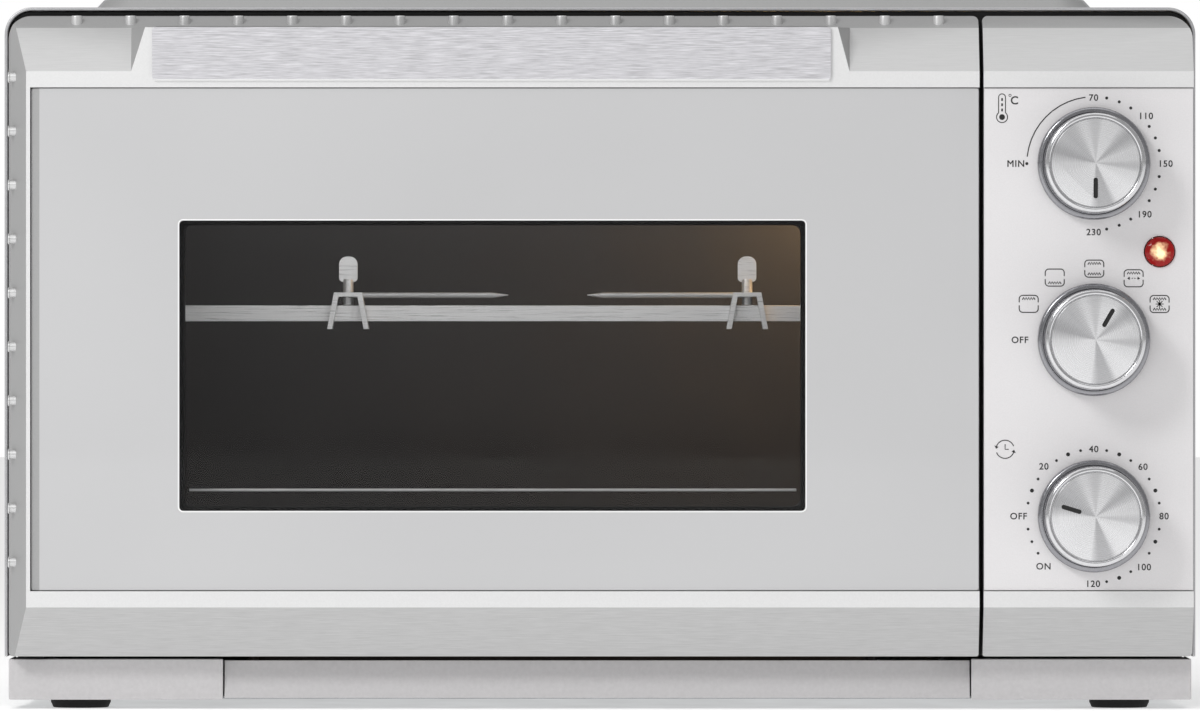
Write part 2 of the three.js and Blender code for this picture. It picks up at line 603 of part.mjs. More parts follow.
// Sickle arm on the door: it carries the pivot pin, and its arc runs through a slot in the front frame.
function hingeArm(side) {
  const x = armX(side);
  const [from, to] = [THREE.MathUtils.degToRad(-22), THREE.MathUtils.degToRad(97)];
  const arc = new THREE.Shape();
  arc.absarc(PIVOT_Y, PIVOT_Z, ARM_OUTER, from, to, false);
  arc.absarc(PIVOT_Y, PIVOT_Z, ARM_INNER, to, from, true);
  arc.closePath();
  const sickle = prism('yzx', arc, x, x + ARM_THICK, 14);
  const spoke = box(x, x + ARM_THICK, PIVOT_Y - EAR_RADIUS, PIVOT_Y + 5, PIVOT_Z, PIVOT_Z + ARM_INNER + 2);
  const eye = bar('x', EAR_RADIUS, x, x + ARM_THICK, PIVOT_Y, PIVOT_Z);
  const outer = side < 0 ? bracketX(side) - 0.7 : x;
  const inner = side < 0 ? x + ARM_THICK : bracketX(side) + BRACKET_THICK + 0.7;
  return join([sickle, spoke, eye, bar('x', PIN_RADIUS, outer, inner, PIVOT_Y, PIVOT_Z)]);
}

function bracketX(side) {
  return side < 0 ? DOOR_LEFT + BRACKET_INSET : DOOR_RIGHT - BRACKET_INSET - BRACKET_THICK;
}

function hingeBracket(side) {
  const x = bracketX(side);
  const end = x + BRACKET_THICK;
  const arm = box(x, end, PIVOT_Y, FRAME_Y - GAP, PIVOT_Z - EAR_RADIUS / 3, PIVOT_Z + EAR_RADIUS);
  const ear = bar('x', EAR_RADIUS, x, end, PIVOT_Y, PIVOT_Z);
  return arm.add(ear).subtract(bar('x', PIN_RADIUS + GAP, x - 1, end + 1, PIVOT_Y, PIVOT_Z));
}

function outerGlass() {
  const [y0, y1] = [FRONT + GLASS_SINK, FRONT + GLASS_SINK + GLASS_THICK];
  return box(DOOR_LEFT + GLASS_MARGIN, DOOR_RIGHT - GAP, y0, y1, GLASS_BOTTOM, GLASS_TOP);
}

function windowArea(grow) {
  const { left, right, below, above, inset } = WINDOW;
  return {
    x0: DOOR_LEFT + left + inset - grow,
    x1: DOOR_RIGHT - right - inset + grow,
    z0: GLASS_BOTTOM + below + inset - grow,
    z1: GLASS_TOP - above - inset + grow,
  };
}

function doorLiner() {
  const [y0, y1] = [FRONT + SECTION_DEPTH - 3, FRONT + SECTION_DEPTH - GAP];
  const edge = GAP;
  const sheet = box(DOOR_LEFT + STILE + edge, DOOR_RIGHT - STILE - edge, y0, y1, DOOR_BOTTOM + RAIL + edge,
    DOOR_TOP - RAIL - edge);
  const { x0, x1, z0, z1 } = windowArea(0);
  return sheet.subtract(prism('xzy', roundedRect(x0, x1, z0, z1, 3), y0 - 1, y1 + 1));
}

function innerGlass() {
  const back = FRONT + SECTION_DEPTH - 3 - GAP;
  const { x0, x1, z0, z1 } = windowArea(6);
  return box(x0, x1, back - GLASS_THICK, back, z0, z1);
}

function doorSeal() {
  const [y0, y1] = [FRONT + SECTION_DEPTH + 0.2, FRAME_Y - 0.2];
  const edge = 5;
  const [x0, x1, z0, z1] = [CAVITY_LEFT - edge, CAVITY_RIGHT + edge, MOUTH_BOTTOM - edge, CAVITY_TOP + edge];
  const outer = prism('xzy', roundedRect(x0, x1, z0, z1, 8), y0, y1);
  return outer.subtract(prism('xzy', roundedRect(x0 + 4, x1 - 4, z0 + 4, z1 - 4, 4), y0 - 1, y1 + 1));
}

function handlePlate() {
  const [x0, x1] = [HANDLE_LEFT, HANDLE_LEFT + HANDLE_WIDTH];
  const top = DOOR_TOP - RIM_HEIGHT;
  return prism('xzy', roundedRect(x0, x1, top - HANDLE_HEIGHT, top, 1), FRONT - 1.1, FRONT - GAP, 2);
}

// ---- control column ----
function controlFascia() {
  const section = prism('yzx', frontSection(), FASCIA_LEFT, FASCIA_RIGHT);
  const [back, front] = [FRONT + SECTION_DEPTH + 1, FRONT - 1];
  const face = roundedRect(FASCIA_LEFT, FASCIA_RIGHT, DOOR_BOTTOM, DOOR_TOP, [0.8, 1.5, CORNER_RADIUS, 2]);
  const seat = FRONT + GLASS_SINK + PLATE_THICK + GAP;
  const rebate = box(FASCIA_LEFT - 1, FASCIA_RIGHT + 1, front, seat, GLASS_BOTTOM - GAP, GLASS_TOP + GAP);
  const wall = 2.5;
  const hollow = box(FASCIA_LEFT + wall, FASCIA_RIGHT - wall, seat + wall, back, DOOR_BOTTOM + 14,
    DOOR_TOP - RIM_HEIGHT - SLOPE_HEIGHT);
  return cut(section.intersect(prism('xzy', face, front, back)), [rebate, hollow, ...controlHoles(back)]);
}

function controlHoles(back) {
  const stems = KNOB_HEIGHTS.map((z) => bar('y', STEM_RADIUS + RUN, FRONT - 1, back, KNOB_X, z));
  return [...stems, bar('y', LAMP_RADIUS + GAP, FRONT - 1, back, LAMP.x, LAMP.z, 20)];
}

function controlPlate() {
  const [y0, y1] = [FRONT + GLASS_SINK, FRONT + GLASS_SINK + PLATE_THICK];
  const plate = box(FASCIA_LEFT + 0.2, FASCIA_RIGHT - 0.2, y0, y1, GLASS_BOTTOM, GLASS_TOP);
  return cut(plate, controlHoles(FRONT + 20));
}

function lampLens() {
  const r = LAMP_RADIUS;
  return turned('y', [[0, -1.8], [r * 0.4, -1.6], [r * 0.75, -0.9], [r, 0.3], [r, 8], [0, 8]], 20);
}

function lampHolder() {
  const r = LAMP_RADIUS - 0.4;
  return turned('y', [[0, 8 + GAP], [r, 8 + GAP], [r, 22], [3, 22], [3, 30], [0, 30]], 16);
}

// Skirted cap with a recessed face and the stem that reaches back to its switch; height is how far it
// stands out.
function knob(height) {
  const skirt = 4.6;
  const stemEnd = SECTION_DEPTH + SEAL_SPACE + SHEET + 0.6;
  const profile = [
    [0, stemEnd], [STEM_RADIUS, stemEnd], [STEM_RADIUS, -GAP], [RING_RADIUS, -GAP],
    [RING_RADIUS, -skirt + 1],
    [RING_RADIUS - 1, -skirt], [KNOB_RADIUS, -skirt], [KNOB_RADIUS, 1.6 - height],
    [KNOB_RADIUS - 1.2, -height],
    [FACE_RADIUS + GAP, -height], [FACE_RADIUS + GAP, 1.5 - height], [0, 1.5 - height],
  ];
  return turned('y', profile, 32);
}

// Spun disc with the pointer slot at its top edge.
function knobFace(height) {
  const [y0, y1] = [0.3 - height, 1.2 - height];
  const disc = bar('y', FACE_RADIUS, y0, y1, 0, 0, 32);
  return disc.subtract(box(-0.8, 0.8, y0 - 1, y1 + 1, 5.4, 12.9));
}

function switchBody(depth) {
  const [y, half] = [SWITCH.y, SWITCH.side / 2];
  return box(-half, half, y, y + depth, -half, half).add(box(-4, 4, y + depth - 1, y + depth + 5, -12, 12));
}

// Sensing bulb along the right wall of the cavity; its capillary runs through the wall to the thermostat.
function thermostatProbe() {
  const x = CAVITY_RIGHT - 8;
  const profile = [[0, -95], [2, -95], [PROBE.bulb, -93], [PROBE.bulb, -32], [1.5, -30], [0, -30]];
  const bulb = turned('y', profile, 10);
  const path = new THREE.CatmullRomCurve3([
    new THREE.Vector3(x, -31, PROBE.z),
    new THREE.Vector3(x, -24, PROBE.z),
    new THREE.Vector3(x + 5, PROBE.y, PROBE.z),
    new THREE.Vector3(x + 12, PROBE.y, PROBE.z), new THREE.Vector3(x + 30, PROBE.y - 20, PROBE.z),
    new THREE.Vector3(KNOB_X - 10, -70, PROBE.z - 5),
    new THREE.Vector3(KNOB_X - 10, SWITCH.y + SWITCH.depth + GAP, PROBE.z - 7),
  ], false, 'catmullrom', 0.2);
  const section = new THREE.Shape().absarc(0, 0, PROBE.tube, 0, 2 * Math.PI);
  const tube = new THREE.ExtrudeGeometry(section, { steps: 24, curveSegments: 4, extrudePath: path });
  return bulb.translate([x, 0, PROBE.z]).add(solid(tube));
}
// ---- crumb tray ----
function crumbTray() {
  const { x0, x1, y0, y1 } = TRAY_PAN;
  const z0 = BASE + SHEET + GAP;
  const pan = box(x0, x1, y0, y1, z0, z0 + TRAY_DEPTH);
  const wall = TRAY_WALL;
  return pan.subtract(box(x0 + wall, x1 - wall, y0 + wall, y1 - wall, z0 + wall, z0 + TRAY_DEPTH + 1));
}

function crumbTrayFront() {
  const y0 = PLINTH_Y + 0.6;
  const top = PLINTH_TOP - 0.6;
  const strip = box(TRAY_LEFT, TRAY_RIGHT, y0, y0 + SHEET, BASE + SHEET + GAP - 1.2, top);
  const hem = box(TRAY_LEFT + 2, TRAY_RIGHT - 2, y0, TRAY_PAN.y0 - GAP, top - SHEET, top);
  return strip.add(hem);
}

// ---- assembly ----
function group(...children) {
  const made = new THREE.Group();
  made.add(...children);
  return made;
}

const feet = ['front', 'rear'].flatMap((end) => ['left', 'right'].map((side) => {
  const x = (side === 'left' ? -1 : 1) * FOOT_X;
  return mesh(`foot_${end}_${side}`, foot(), BLACK, [x, end === 'front' ? FRONT + 42 : REAR - 27, 0]);
}));

const casing = group(
  mesh('outer_housing', outerHousing(), PAINT),
  mesh('rear_panel', rearPanel(), ZINC),
  mesh('base_pan', basePan(), ZINC),
  mesh('plinth_trim_left', plinthTrim(-1), PAINT),
  mesh('plinth_trim_right', plinthTrim(1), PAINT),
  mesh('front_frame', frontFrame(), ZINC),
  mesh('cord_gland', cordGland(), BLACK, [GLAND.x, REAR, GLAND.z]),
  mesh('rear_spacer_left', rearSpacer(), BLACK, [LEFT + 60, REAR, ROOF - 56]),
  mesh('rear_spacer_right', rearSpacer(), BLACK, [RIGHT - 60, REAR, ROOF - 56]),
  mesh('hinge_bracket_left', hingeBracket(-1), STEEL),
  mesh('hinge_bracket_right', hingeBracket(1), STEEL),
  ...feet,
);

const cavity = group(
  mesh('cavity_wall_left', cavityWall(-1), ENAMEL),
  mesh('cavity_wall_right', cavityWall(1), ENAMEL),
  mesh('cavity_ceiling', cavityCeiling(), ENAMEL),
  mesh('cavity_back', cavityBack(), ENAMEL),
  mesh('cavity_floor', cavityFloor(), ENAMEL),
  ...HEATERS.map(({ name, y, z }) => mesh(name, heater(), HEATER, [0, y, z])),
  mesh('fan_grille', fanGrille(), ENAMEL, [0, FAN.y, FAN.z]),
  mesh('fan_motor', fanMotor(), ZINC, [0, FAN.y, FAN.z]),
  mesh('fan_wheel', fanWheel(), STEEL, [0, FAN.y, FAN.z]),
);

const rotisserie = group(
  mesh('spit_motor', spitMotor(), ZINC),
  mesh('spit_drive_socket', driveSocket(), STEEL),
  mesh('spit_support', spitSupport(), STEEL),
  mesh('spit_rod', spitRod(), STEEL),
  mesh('fork_left', fork(1), STEEL, [FORK_LEFT_X, 0, 0]),
  mesh('fork_right', fork(-1), STEEL, [FORK_RIGHT_X, 0, 0]),
  mesh('wing_screw_left', wingScrew(), STEEL, [FORK_LEFT_X, 0, 0]),
  mesh('wing_screw_right', wingScrew(), STEEL, [FORK_RIGHT_X, 0, 0]),
);
rotisserie.position.set(0, SPIT_Y, SPIT_Z);

const door = group(
  mesh('door_frame', doorFrame(), PAINT),
  mesh('door_outer_glass', outerGlass(), GLASS),
  mesh('door_inner_glass', innerGlass(), GLASS),
  mesh('door_liner', doorLiner(), ENAMEL),
  mesh('door_seal', doorSeal(), BLACK),
  mesh('handle_plate', handlePlate(), STEEL),
  mesh('hinge_arm_left', hingeArm(-1), STEEL),
  mesh('hinge_arm_right', hingeArm(1), STEEL),
);

// Pointers at rest, in degrees clockwise from the top; the function knob stands a little taller.
const CONTROLS = [
  { name: 'temperature', unit: 'thermostat', rest: 180, height: 19 },
  { name: 'function', unit: 'function_switch', rest: 30, height: KNOB_REACH },
  { name: 'timer', unit: 'timer_unit', rest: -73, height: 19 },
];

const controls = group(
  mesh('control_fascia', controlFascia(), PAINT),
  mesh('control_plate', controlPlate(), WHITE),
  mesh('lamp_lens', lampLens(), LENS, [LAMP.x, FRONT, LAMP.z]),
  mesh('lamp_holder', lampHolder(), WHITE, [LAMP.x, FRONT, LAMP.z]),
  mesh('thermostat_probe', thermostatProbe(), STEEL),
  ...CONTROLS.flatMap(({ name, unit, rest, height }, k) => {
    const place = [KNOB_X, FRONT, KNOB_HEIGHTS[k]];
    const turn = THREE.MathUtils.degToRad(rest);
    const depth = unit === 'timer_unit' ? SWITCH.depth + 12 : SWITCH.depth;
    return [
      mesh(`${name}_knob`, knob(height), CHROME, place, turn),
      mesh(`${name}_knob_face`, knobFace(height), STEEL, place, turn),
      mesh(unit, switchBody(depth), WHITE, [KNOB_X, 0, KNOB_HEIGHTS[k]]),
    ];
  }),
);

const tray = group(
  mesh('crumb_tray', crumbTray(), STEEL),
  mesh('crumb_tray_front', crumbTrayFront(), PAINT),
);

const oven = group(casing, cavity, rotisserie, door, controls, tray);

export default oven;
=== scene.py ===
"""Visual model of a countertop rotisserie oven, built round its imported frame."""
import math

import bmesh
import bpy
from bpy.props import FloatProperty, FloatVectorProperty, IntProperty, PointerProperty
from mathutils import Matrix, Vector


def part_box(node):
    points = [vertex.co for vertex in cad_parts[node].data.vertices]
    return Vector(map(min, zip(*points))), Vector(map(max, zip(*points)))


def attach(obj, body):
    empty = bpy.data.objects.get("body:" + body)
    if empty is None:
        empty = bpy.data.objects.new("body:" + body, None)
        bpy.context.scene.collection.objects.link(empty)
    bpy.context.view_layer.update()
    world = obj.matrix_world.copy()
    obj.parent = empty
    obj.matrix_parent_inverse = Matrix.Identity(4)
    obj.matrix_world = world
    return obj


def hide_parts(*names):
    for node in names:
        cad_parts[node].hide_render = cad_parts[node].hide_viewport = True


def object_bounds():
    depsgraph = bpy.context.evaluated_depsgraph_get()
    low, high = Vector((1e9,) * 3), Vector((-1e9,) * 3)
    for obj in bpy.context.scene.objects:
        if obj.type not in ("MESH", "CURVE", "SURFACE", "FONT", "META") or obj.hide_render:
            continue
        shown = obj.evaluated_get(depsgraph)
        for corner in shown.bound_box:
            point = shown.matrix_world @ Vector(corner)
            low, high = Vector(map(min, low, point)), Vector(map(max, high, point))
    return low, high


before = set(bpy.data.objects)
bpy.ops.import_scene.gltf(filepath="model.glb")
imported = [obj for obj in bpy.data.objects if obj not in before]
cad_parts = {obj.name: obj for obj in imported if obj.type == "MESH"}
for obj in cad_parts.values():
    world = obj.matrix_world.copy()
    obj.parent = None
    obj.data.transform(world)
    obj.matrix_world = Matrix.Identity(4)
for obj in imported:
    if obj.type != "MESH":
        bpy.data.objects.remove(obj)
CAD_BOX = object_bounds()

bl_info = {
    "name": "Rotisserie oven",
    "version": (1, 0, 0),
    "blender": (4, 5, 0),
    "location": "3D View > Sidebar > Oven",
    "description": "Builds a countertop rotisserie oven piece by piece round its frame",
    "category": "Object",
}

MM = 0.001
AXES = {"x": 0, "y": 1, "z": 2}
ROUND = 96  # sides of a round piece that shows
GAP = 0.3 * MM  # clearance round a fitted piece
DOOR_LOW, DOOR_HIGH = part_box("door_frame")
FASCIA_LOW, FASCIA_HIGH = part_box("control_fascia")
FRONT = DOOR_LOW.y


# ---- sizes and colours ----
def length(name, what, default, low=0.0):
    """A size property; its default is in millimetres."""
    return FloatProperty(
        name=name, description=what, default=default * MM, min=low, subtype="DISTANCE", unit="LENGTH"
    )


def hex_color(name, what, code):
    """A colour property from sRGB hex text, kept in display values."""
    rgb = [int(code[i:i + 2], 16) / 255 for i in (1, 3, 5)]
    return FloatVectorProperty(
        name=name, description=what, default=rgb, min=0, max=1, size=3, subtype="COLOR_GAMMA"
    )


class OvenSizes(bpy.types.PropertyGroup):
    """Sizes of the visible pieces that the frame's boxes do not give."""

    rim_depth: length("Rim depth", "Door face to the back edge of the rim bevel", 19.5)
    slope_depth: length("Slope depth", "Door face to the back edge of the upper sloped band", 11.3)
    lower_slope_depth: length("Lower slope depth", "Door face to the lower edge of the bottom band", 12.8)
    rim_height: length("Rim height", "Height of the bevelled rim", 4.6)
    slope_height: length("Slope height", "Height of the upper sloped band", 16)
    band_height: length("Band height", "Flat bands above and below the glass", 6.2)
    lower_slope_height: length("Lower slope height", "Height of the bottom sloped band", 18.1)
    side_draft: length("Side draft", "How far the door's left face leans in", 7.2)
    corner_radius: length("Corner radius", "Upper outer corners of the front", 8.5)
    sheet: length("Sheet", "Thickness of the housing's hemmed edge", 1.2)
    ear_wall: length("Wall by the hinge", "Door wall left in front of the hinge ears", 1.2)
    glass_margin: length("Glass margin", "Door's left edge to the glass", 9)
    window_below: length("Window below", "Glass edge to the window's lower edge", 28.9)
    window_above: length("Window above", "Glass edge to the window's upper edge", 48.1)
    window_left: length("Window left", "Door's left edge to the window", 62.9)
    window_right: length("Window right", "Door's right edge to the window", 63.3)
    stud_radius: length("Stud radius", "Studs on the door's rim", 2.05)
    stud_pitch: length("Stud pitch", "Distance between studs", 19.65)
    tab_thick: length("Tab thickness", "Handle tab in front of the finger gap", 3.2)
    recess_depth: length("Recess depth", "Finger gap behind the handle tab", 12.6)
    dial_radius: length("Dial radius", "Ring of dots round a knob", 24.3)
    print_lift: length("Print thickness", "How far the print stands off the plate", 0.06)
    top_studs: IntProperty(name="Top studs", description="Studs along the top rim", default=17, min=0)
    side_studs: IntProperty(name="Side studs", description="Studs down the left rim", default=10, min=0)


class OvenColours(bpy.types.PropertyGroup):
    """Colours as they look on the finished piece."""

    housing: hex_color("Housing", "Silver lacquer on the sheet-metal shell", "#c4c4c6")
    moulding: hex_color("Moulding", "Silver moulding of the flat bands", "#e8e8e8")
    slope: hex_color("Upper slope", "Brushed film on the sloped band beside the handle", "#cfcfcf")
    lower_slope: hex_color("Lower slope", "Brushed film on the bottom sloped band", "#bfbfbf")
    rim: hex_color("Rim", "Bevelled rim of the door and the fascia", "#acacac")
    plinth: hex_color("Plinth", "Trims and tray front under the door", "#cfcdce")
    handle: hex_color("Handle", "Brushed plate on the handle tab", "#e4e3e7")
    glass_paint: hex_color("Glass paint", "Silver lacquer behind the door glass", "#cbcbcc")
    plate: hex_color("Control plate", "Satin white plate behind the knobs", "#e9e7e8")
    enamel: hex_color("Enamel", "Cavity enamel", "#28272a")
    print_ink: hex_color("Print", "Printed dial marks", "#1e1e1e")
    lamp: hex_color("Lamp", "Indicator lens", "#a01010")
    rubber: hex_color("Rubber", "Feet", "#181818")
    steel: hex_color("Steel", "Bright steel of the spit", "#e6e6e6")


def sizes():
    return bpy.context.scene.oven_sizes


def colours():
    return bpy.context.scene.oven_colours


# ---- mesh tools ----
def arc(centre, radius, start, end, steps=10):
    """Points on a circular arc, angles in degrees."""
    turns = [math.radians(start + (end - start) * i / steps) for i in range(steps + 1)]
    return [(centre[0] + radius * math.cos(t), centre[1] + radius * math.sin(t)) for t in turns]


def rounded(a0, a1, b0, b1, radii, steps=10):
    """A rectangle's outline with its corners rounded: lower left, lower right, upper right, upper left."""
    if not isinstance(radii, (list, tuple)):
        radii = [radii] * 4
    corners = [(a0, b0, 180), (a1, b0, 270), (a1, b1, 0), (a0, b1, 90)]
    points = []
    for (a, b, start), radius in zip(corners, radii):
        inward = (1 if a == a0 else -1, 1 if b == b0 else -1)
        centre = (a + inward[0] * radius, b + inward[1] * radius)
        points += arc(centre, radius, start, start + 90, steps) if radius else [(a, b)]
    return points


def extruded(points, axes, low, high):
    """A solid from an outline in the two named axes, between two places along the third."""
    first, second = (AXES[name] for name in axes)
    third = 3 - first - second
    bm = bmesh.new()
    corners = []
    for a, b in points:
        place = [0.0, 0.0, 0.0]
        place[first], place[second], place[third] = a, b, low
        corners.append(bm.verts.new(place))
    face = bm.faces.new(corners)
    raised = bmesh.ops.extrude_face_region(bm, geom=[face])["geom"]
    shift = Vector((0, 0, 0))
    shift[third] = high - low
    bmesh.ops.translate(bm, vec=shift, verts=[v for v in raised if isinstance(v, bmesh.types.BMVert)])
    bmesh.ops.recalc_face_normals(bm, faces=bm.faces)
    return bm


def slab(edges, radii, steps, front, back):
    """A plate that faces the front: its left, right, lower and upper edge, and its corners' radii."""
    return extruded(rounded(*edges, radii, steps), "xz", front, back)


def block(low, high):
    """A box between two corners."""
    low, high = Vector(low), Vector(high)
    bm = bmesh.new()
    made = bmesh.ops.create_cube(bm, size=1)["verts"]
    bmesh.ops.scale(bm, vec=high - low, verts=made)
    bmesh.ops.translate(bm, vec=(low + high) / 2, verts=made)
    return bm


def turned(profile, centre, axis="y", steps=ROUND):
    """A turned solid: profile points are (radius, place along the axis) from the axis and back to it."""
    along = AXES[axis]
    out = (along + 1) % 3
    bm = bmesh.new()
    chain = []
    for radius, place in profile:
        point = Vector(centre)
        point[out] += radius
        point[along] += place
        chain.append(bm.verts.new(point))
    edges = [bm.edges.new(pair) for pair in zip(chain, chain[1:])]
    spindle = Vector((0, 0, 0))
    spindle[along] = 1
    bmesh.ops.spin(
        bm, geom=chain + edges, cent=Vector(centre), axis=spindle, angle=2 * math.pi, steps=steps,
        use_merge=True,
    )
    bmesh.ops.remove_doubles(bm, verts=bm.verts, dist=0.002 * MM)
    bmesh.ops.recalc_face_normals(bm, faces=bm.faces)
    return bm


def rod(axis, radius, low, high, centre, steps=32):
    """A plain round bar; centre is a point on its axis, low and high its ends along it."""
    point = Vector(centre)
    point[AXES[axis]] = 0
    return turned([(0, low), (radius, low), (radius, high), (0, high)], point, axis, steps)


def scratch(bm):
    """A temporary object that holds a bmesh."""
    mesh = bpy.data.meshes.new("scratch")
    bm.to_mesh(mesh)
    bm.free()
    made = bpy.data.objects.new("scratch", mesh)
    bpy.context.scene.collection.objects.link(made)
    return made


def discard(made):
    """Removes a temporary object and its mesh."""
    mesh = made.data
    bpy.data.objects.remove(made)
    bpy.data.meshes.remove(mesh)


def combined(base, others, operation):
    """A bmesh after a DIFFERENCE, UNION or INTERSECT with each of the others."""
    body, tools = scratch(base), [scratch(other) for other in others]
    for tool in tools:
        step = body.modifiers.new("combine", "BOOLEAN")
        step.operation, step.solver, step.object = operation, "EXACT", tool
    bpy.context.view_layer.update()
    seen = body.evaluated_get(bpy.context.evaluated_depsgraph_get())
    result = bmesh.new()
    result.from_mesh(seen.to_mesh())
    seen.to_mesh_clear()
    for made in [body, *tools]:
        discard(made)
    bmesh.ops.remove_doubles(result, verts=result.verts, dist=0.004 * MM)
    bmesh.ops.dissolve_limit(result, angle_limit=math.radians(0.5), verts=result.verts, edges=result.edges)
    return result


def cut(base, others):
    """A bmesh with the others cut from it."""
    return combined(base, others, "DIFFERENCE")


def joined(parts):
    """Several bmeshes as one, side by side."""
    whole = bmesh.new()
    for part in parts:
        mesh = bpy.data.meshes.new("part")
        part.to_mesh(mesh)
        part.free()
        whole.from_mesh(mesh)
        bpy.data.meshes.remove(mesh)
    return whole


def from_node(node):
    """A CAD node's mesh, merged and with its flat faces whole."""
    bm = bmesh.new()
    bm.from_mesh(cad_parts[node].data)
    bmesh.ops.remove_doubles(bm, verts=bm.verts, dist=0.004 * MM)
    bmesh.ops.dissolve_limit(bm, angle_limit=math.radians(1), verts=bm.verts, edges=bm.edges)
    return bm


def piece(name, bm, finishes, body, replaces=(), bevel=0.0, smooth=40, paint=None):
    """Makes the finished object. Finishes are keys of MATERIALS or materials; paint(face) picks from them."""
    if paint:
        for face in bm.faces:
            face.material_index = paint(face)
    mesh = bpy.data.meshes.new(name)
    bm.to_mesh(mesh)
    bm.free()
    for each in finishes if isinstance(finishes, (list, tuple)) else [finishes]:
        mesh.materials.append(MATERIALS[each] if isinstance(each, str) else each)
    mesh.shade_smooth()
    mesh.set_sharp_from_angle(angle=math.radians(smooth))
    made = bpy.data.objects.new(name, mesh)
    bpy.context.scene.collection.objects.link(made)
    if bevel:
        edge = made.modifiers.new("soft edges", "BEVEL")
        edge.width, edge.segments, edge.limit_method = bevel, 3, "ANGLE"
        edge.angle_limit, edge.harden_normals = math.radians(30), True
        edge.miter_outer = "MITER_ARC"
    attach(made, body)
    if replaces:
        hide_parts(*replaces)
    return made


# ---- materials ----
def display(code):
    """Hex text as display values."""
    return [int(code[i:i + 2], 16) / 255 for i in (1, 3, 5)]


def linear(tone, factor=1.0):
    """Display values, or hex text, as a linear colour, made lighter or darker by a factor."""
    shown = [min(1.0, v * factor) for v in (display(tone) if isinstance(tone, str) else tone)]
    return (*[v / 12.92 if v <= 0.04045 else ((v + 0.055) / 1.055) ** 2.4 for v in shown], 1.0)


def node(tree, kind, settings=None, links=None, to=None):
    """Adds a shader node: its settings, what its inputs read, and the (node, input) its output goes to."""
    made = tree.nodes.new("ShaderNode" + kind)
    for key, value in (settings or {}).items():
        if isinstance(key, str) and hasattr(made, key):
            setattr(made, key, value)
        else:
            made.inputs[key].default_value = value
    for key, source in (links or {}).items():
        tree.links.new(source.outputs[0] if hasattr(source, "outputs") else source, made.inputs[key])
    if to:
        tree.links.new(made.outputs[0], to[0].inputs[to[1]])
    return made


def finish(name, scale=(1, 1, 1), shift=(0, 0, 0)):
    """A new material: its tree, its surface shader, and Object coordinates scaled and moved for a pattern."""
    made = bpy.data.materials.new(name)
    made.use_nodes = True
    tree = made.node_tree
    tree.nodes.clear()
    surface = node(tree, "BsdfPrincipled")
    node(tree, "OutputMaterial", links={"Surface": surface})
    coordinates = node(tree, "TexCoord").outputs["Object"]
    place = node(tree, "Mapping", {"Scale": scale, "Location": shift}, {"Vector": coordinates})
    return made, tree, surface, place


def put(surface, **values):
    """Sets constant values on the shader's own sockets."""
    for key, value in values.items():
        surface.inputs[key.replace("_", " ").title().replace("Ior", "IOR")].default_value = value


def between(low, high):
    """Map Range settings that turn the middle of a noise pattern into low..high."""
    return {"From Min": 0.3, "From Max": 0.7, "To Min": low, "To Max": high}


def silver_lacquer():
    """Silver lacquer on pressed steel: an even satin sheen, with the fine orange peel of a sprayed coat."""
    made, tree, surface, place = finish("silver lacquer on steel")
    tone = colours().housing
    flakes = node(tree, "TexNoise", {"Scale": 1 / (0.6 * MM)}, {"Vector": place})  # 0.6 mm flake clusters
    node(tree, "MixRGB", {"Color1": linear(tone, 0.94), "Color2": linear(tone, 1.06)}, {"Fac": flakes},
         (surface, "Base Color"))
    peel = node(tree, "TexNoise", {"Scale": 1 / (2.5 * MM)}, {"Vector": place})  # 2.5 mm orange peel
    node(tree, "MapRange", between(0.34, 0.42), {"Value": peel}, (surface, "Roughness"))
    node(tree, "Bump", {"Strength": 0.12, "Distance": 0.05 * MM}, {"Height": peel}, (surface, "Normal"))
    put(surface, metallic=0.65, coat_weight=0.15, coat_roughness=0.25)
    return made


def brushed(name, tone, grain_mm, length_mm, contrast, rough, metallic):
    """A surface brushed along X: scratches of one width that each run a long way, some darker than others."""
    across = 1 / (grain_mm * MM)
    made, tree, surface, place = finish(name, (1 / (length_mm * MM), across, across))
    scratches = node(tree, "TexNoise", {"Scale": 1.0, "Detail": 4, "Roughness": 0.6}, {"Vector": place})
    strong = node(tree, "MapRange", between(0, 1), {"Value": scratches})
    node(tree, "MixRGB", {"Color1": linear(tone, 1 - contrast), "Color2": linear(tone, 1 + contrast / 2)},
         {"Fac": strong}, (surface, "Base Color"))
    node(tree, "MapRange", between(rough - 0.06, rough + 0.08), {"Value": scratches},
         (surface, "Roughness"))
    node(tree, "Bump", {"Strength": 0.18, "Distance": 0.02 * MM}, {"Height": scratches},
         (surface, "Normal"))
    put(surface, metallic=metallic)
    return made


def back_painted_glass():
    """Silver lacquer seen through the glass it is printed on: a soft grey under a hard, clear gloss."""
    made, tree, surface, place = finish("silver lacquer behind glass")
    tone = colours().glass_paint
    drift = node(tree, "TexNoise", {"Scale": 1 / (180 * MM)}, {"Vector": place})  # density drifts slowly
    node(tree, "MixRGB", {"Color1": linear(tone, 0.97), "Color2": linear(tone, 1.03)}, {"Fac": drift},
         (surface, "Base Color"))
    flake = node(tree, "TexNoise", {"Scale": 1 / (0.4 * MM)}, {"Vector": place})  # 0.4 mm flake
    node(tree, "MapRange", between(0.42, 0.5), {"Value": flake}, (surface, "Roughness"))
    put(surface, metallic=0.1, coat_weight=1.0, coat_roughness=0.02, coat_ior=1.52)
    return made


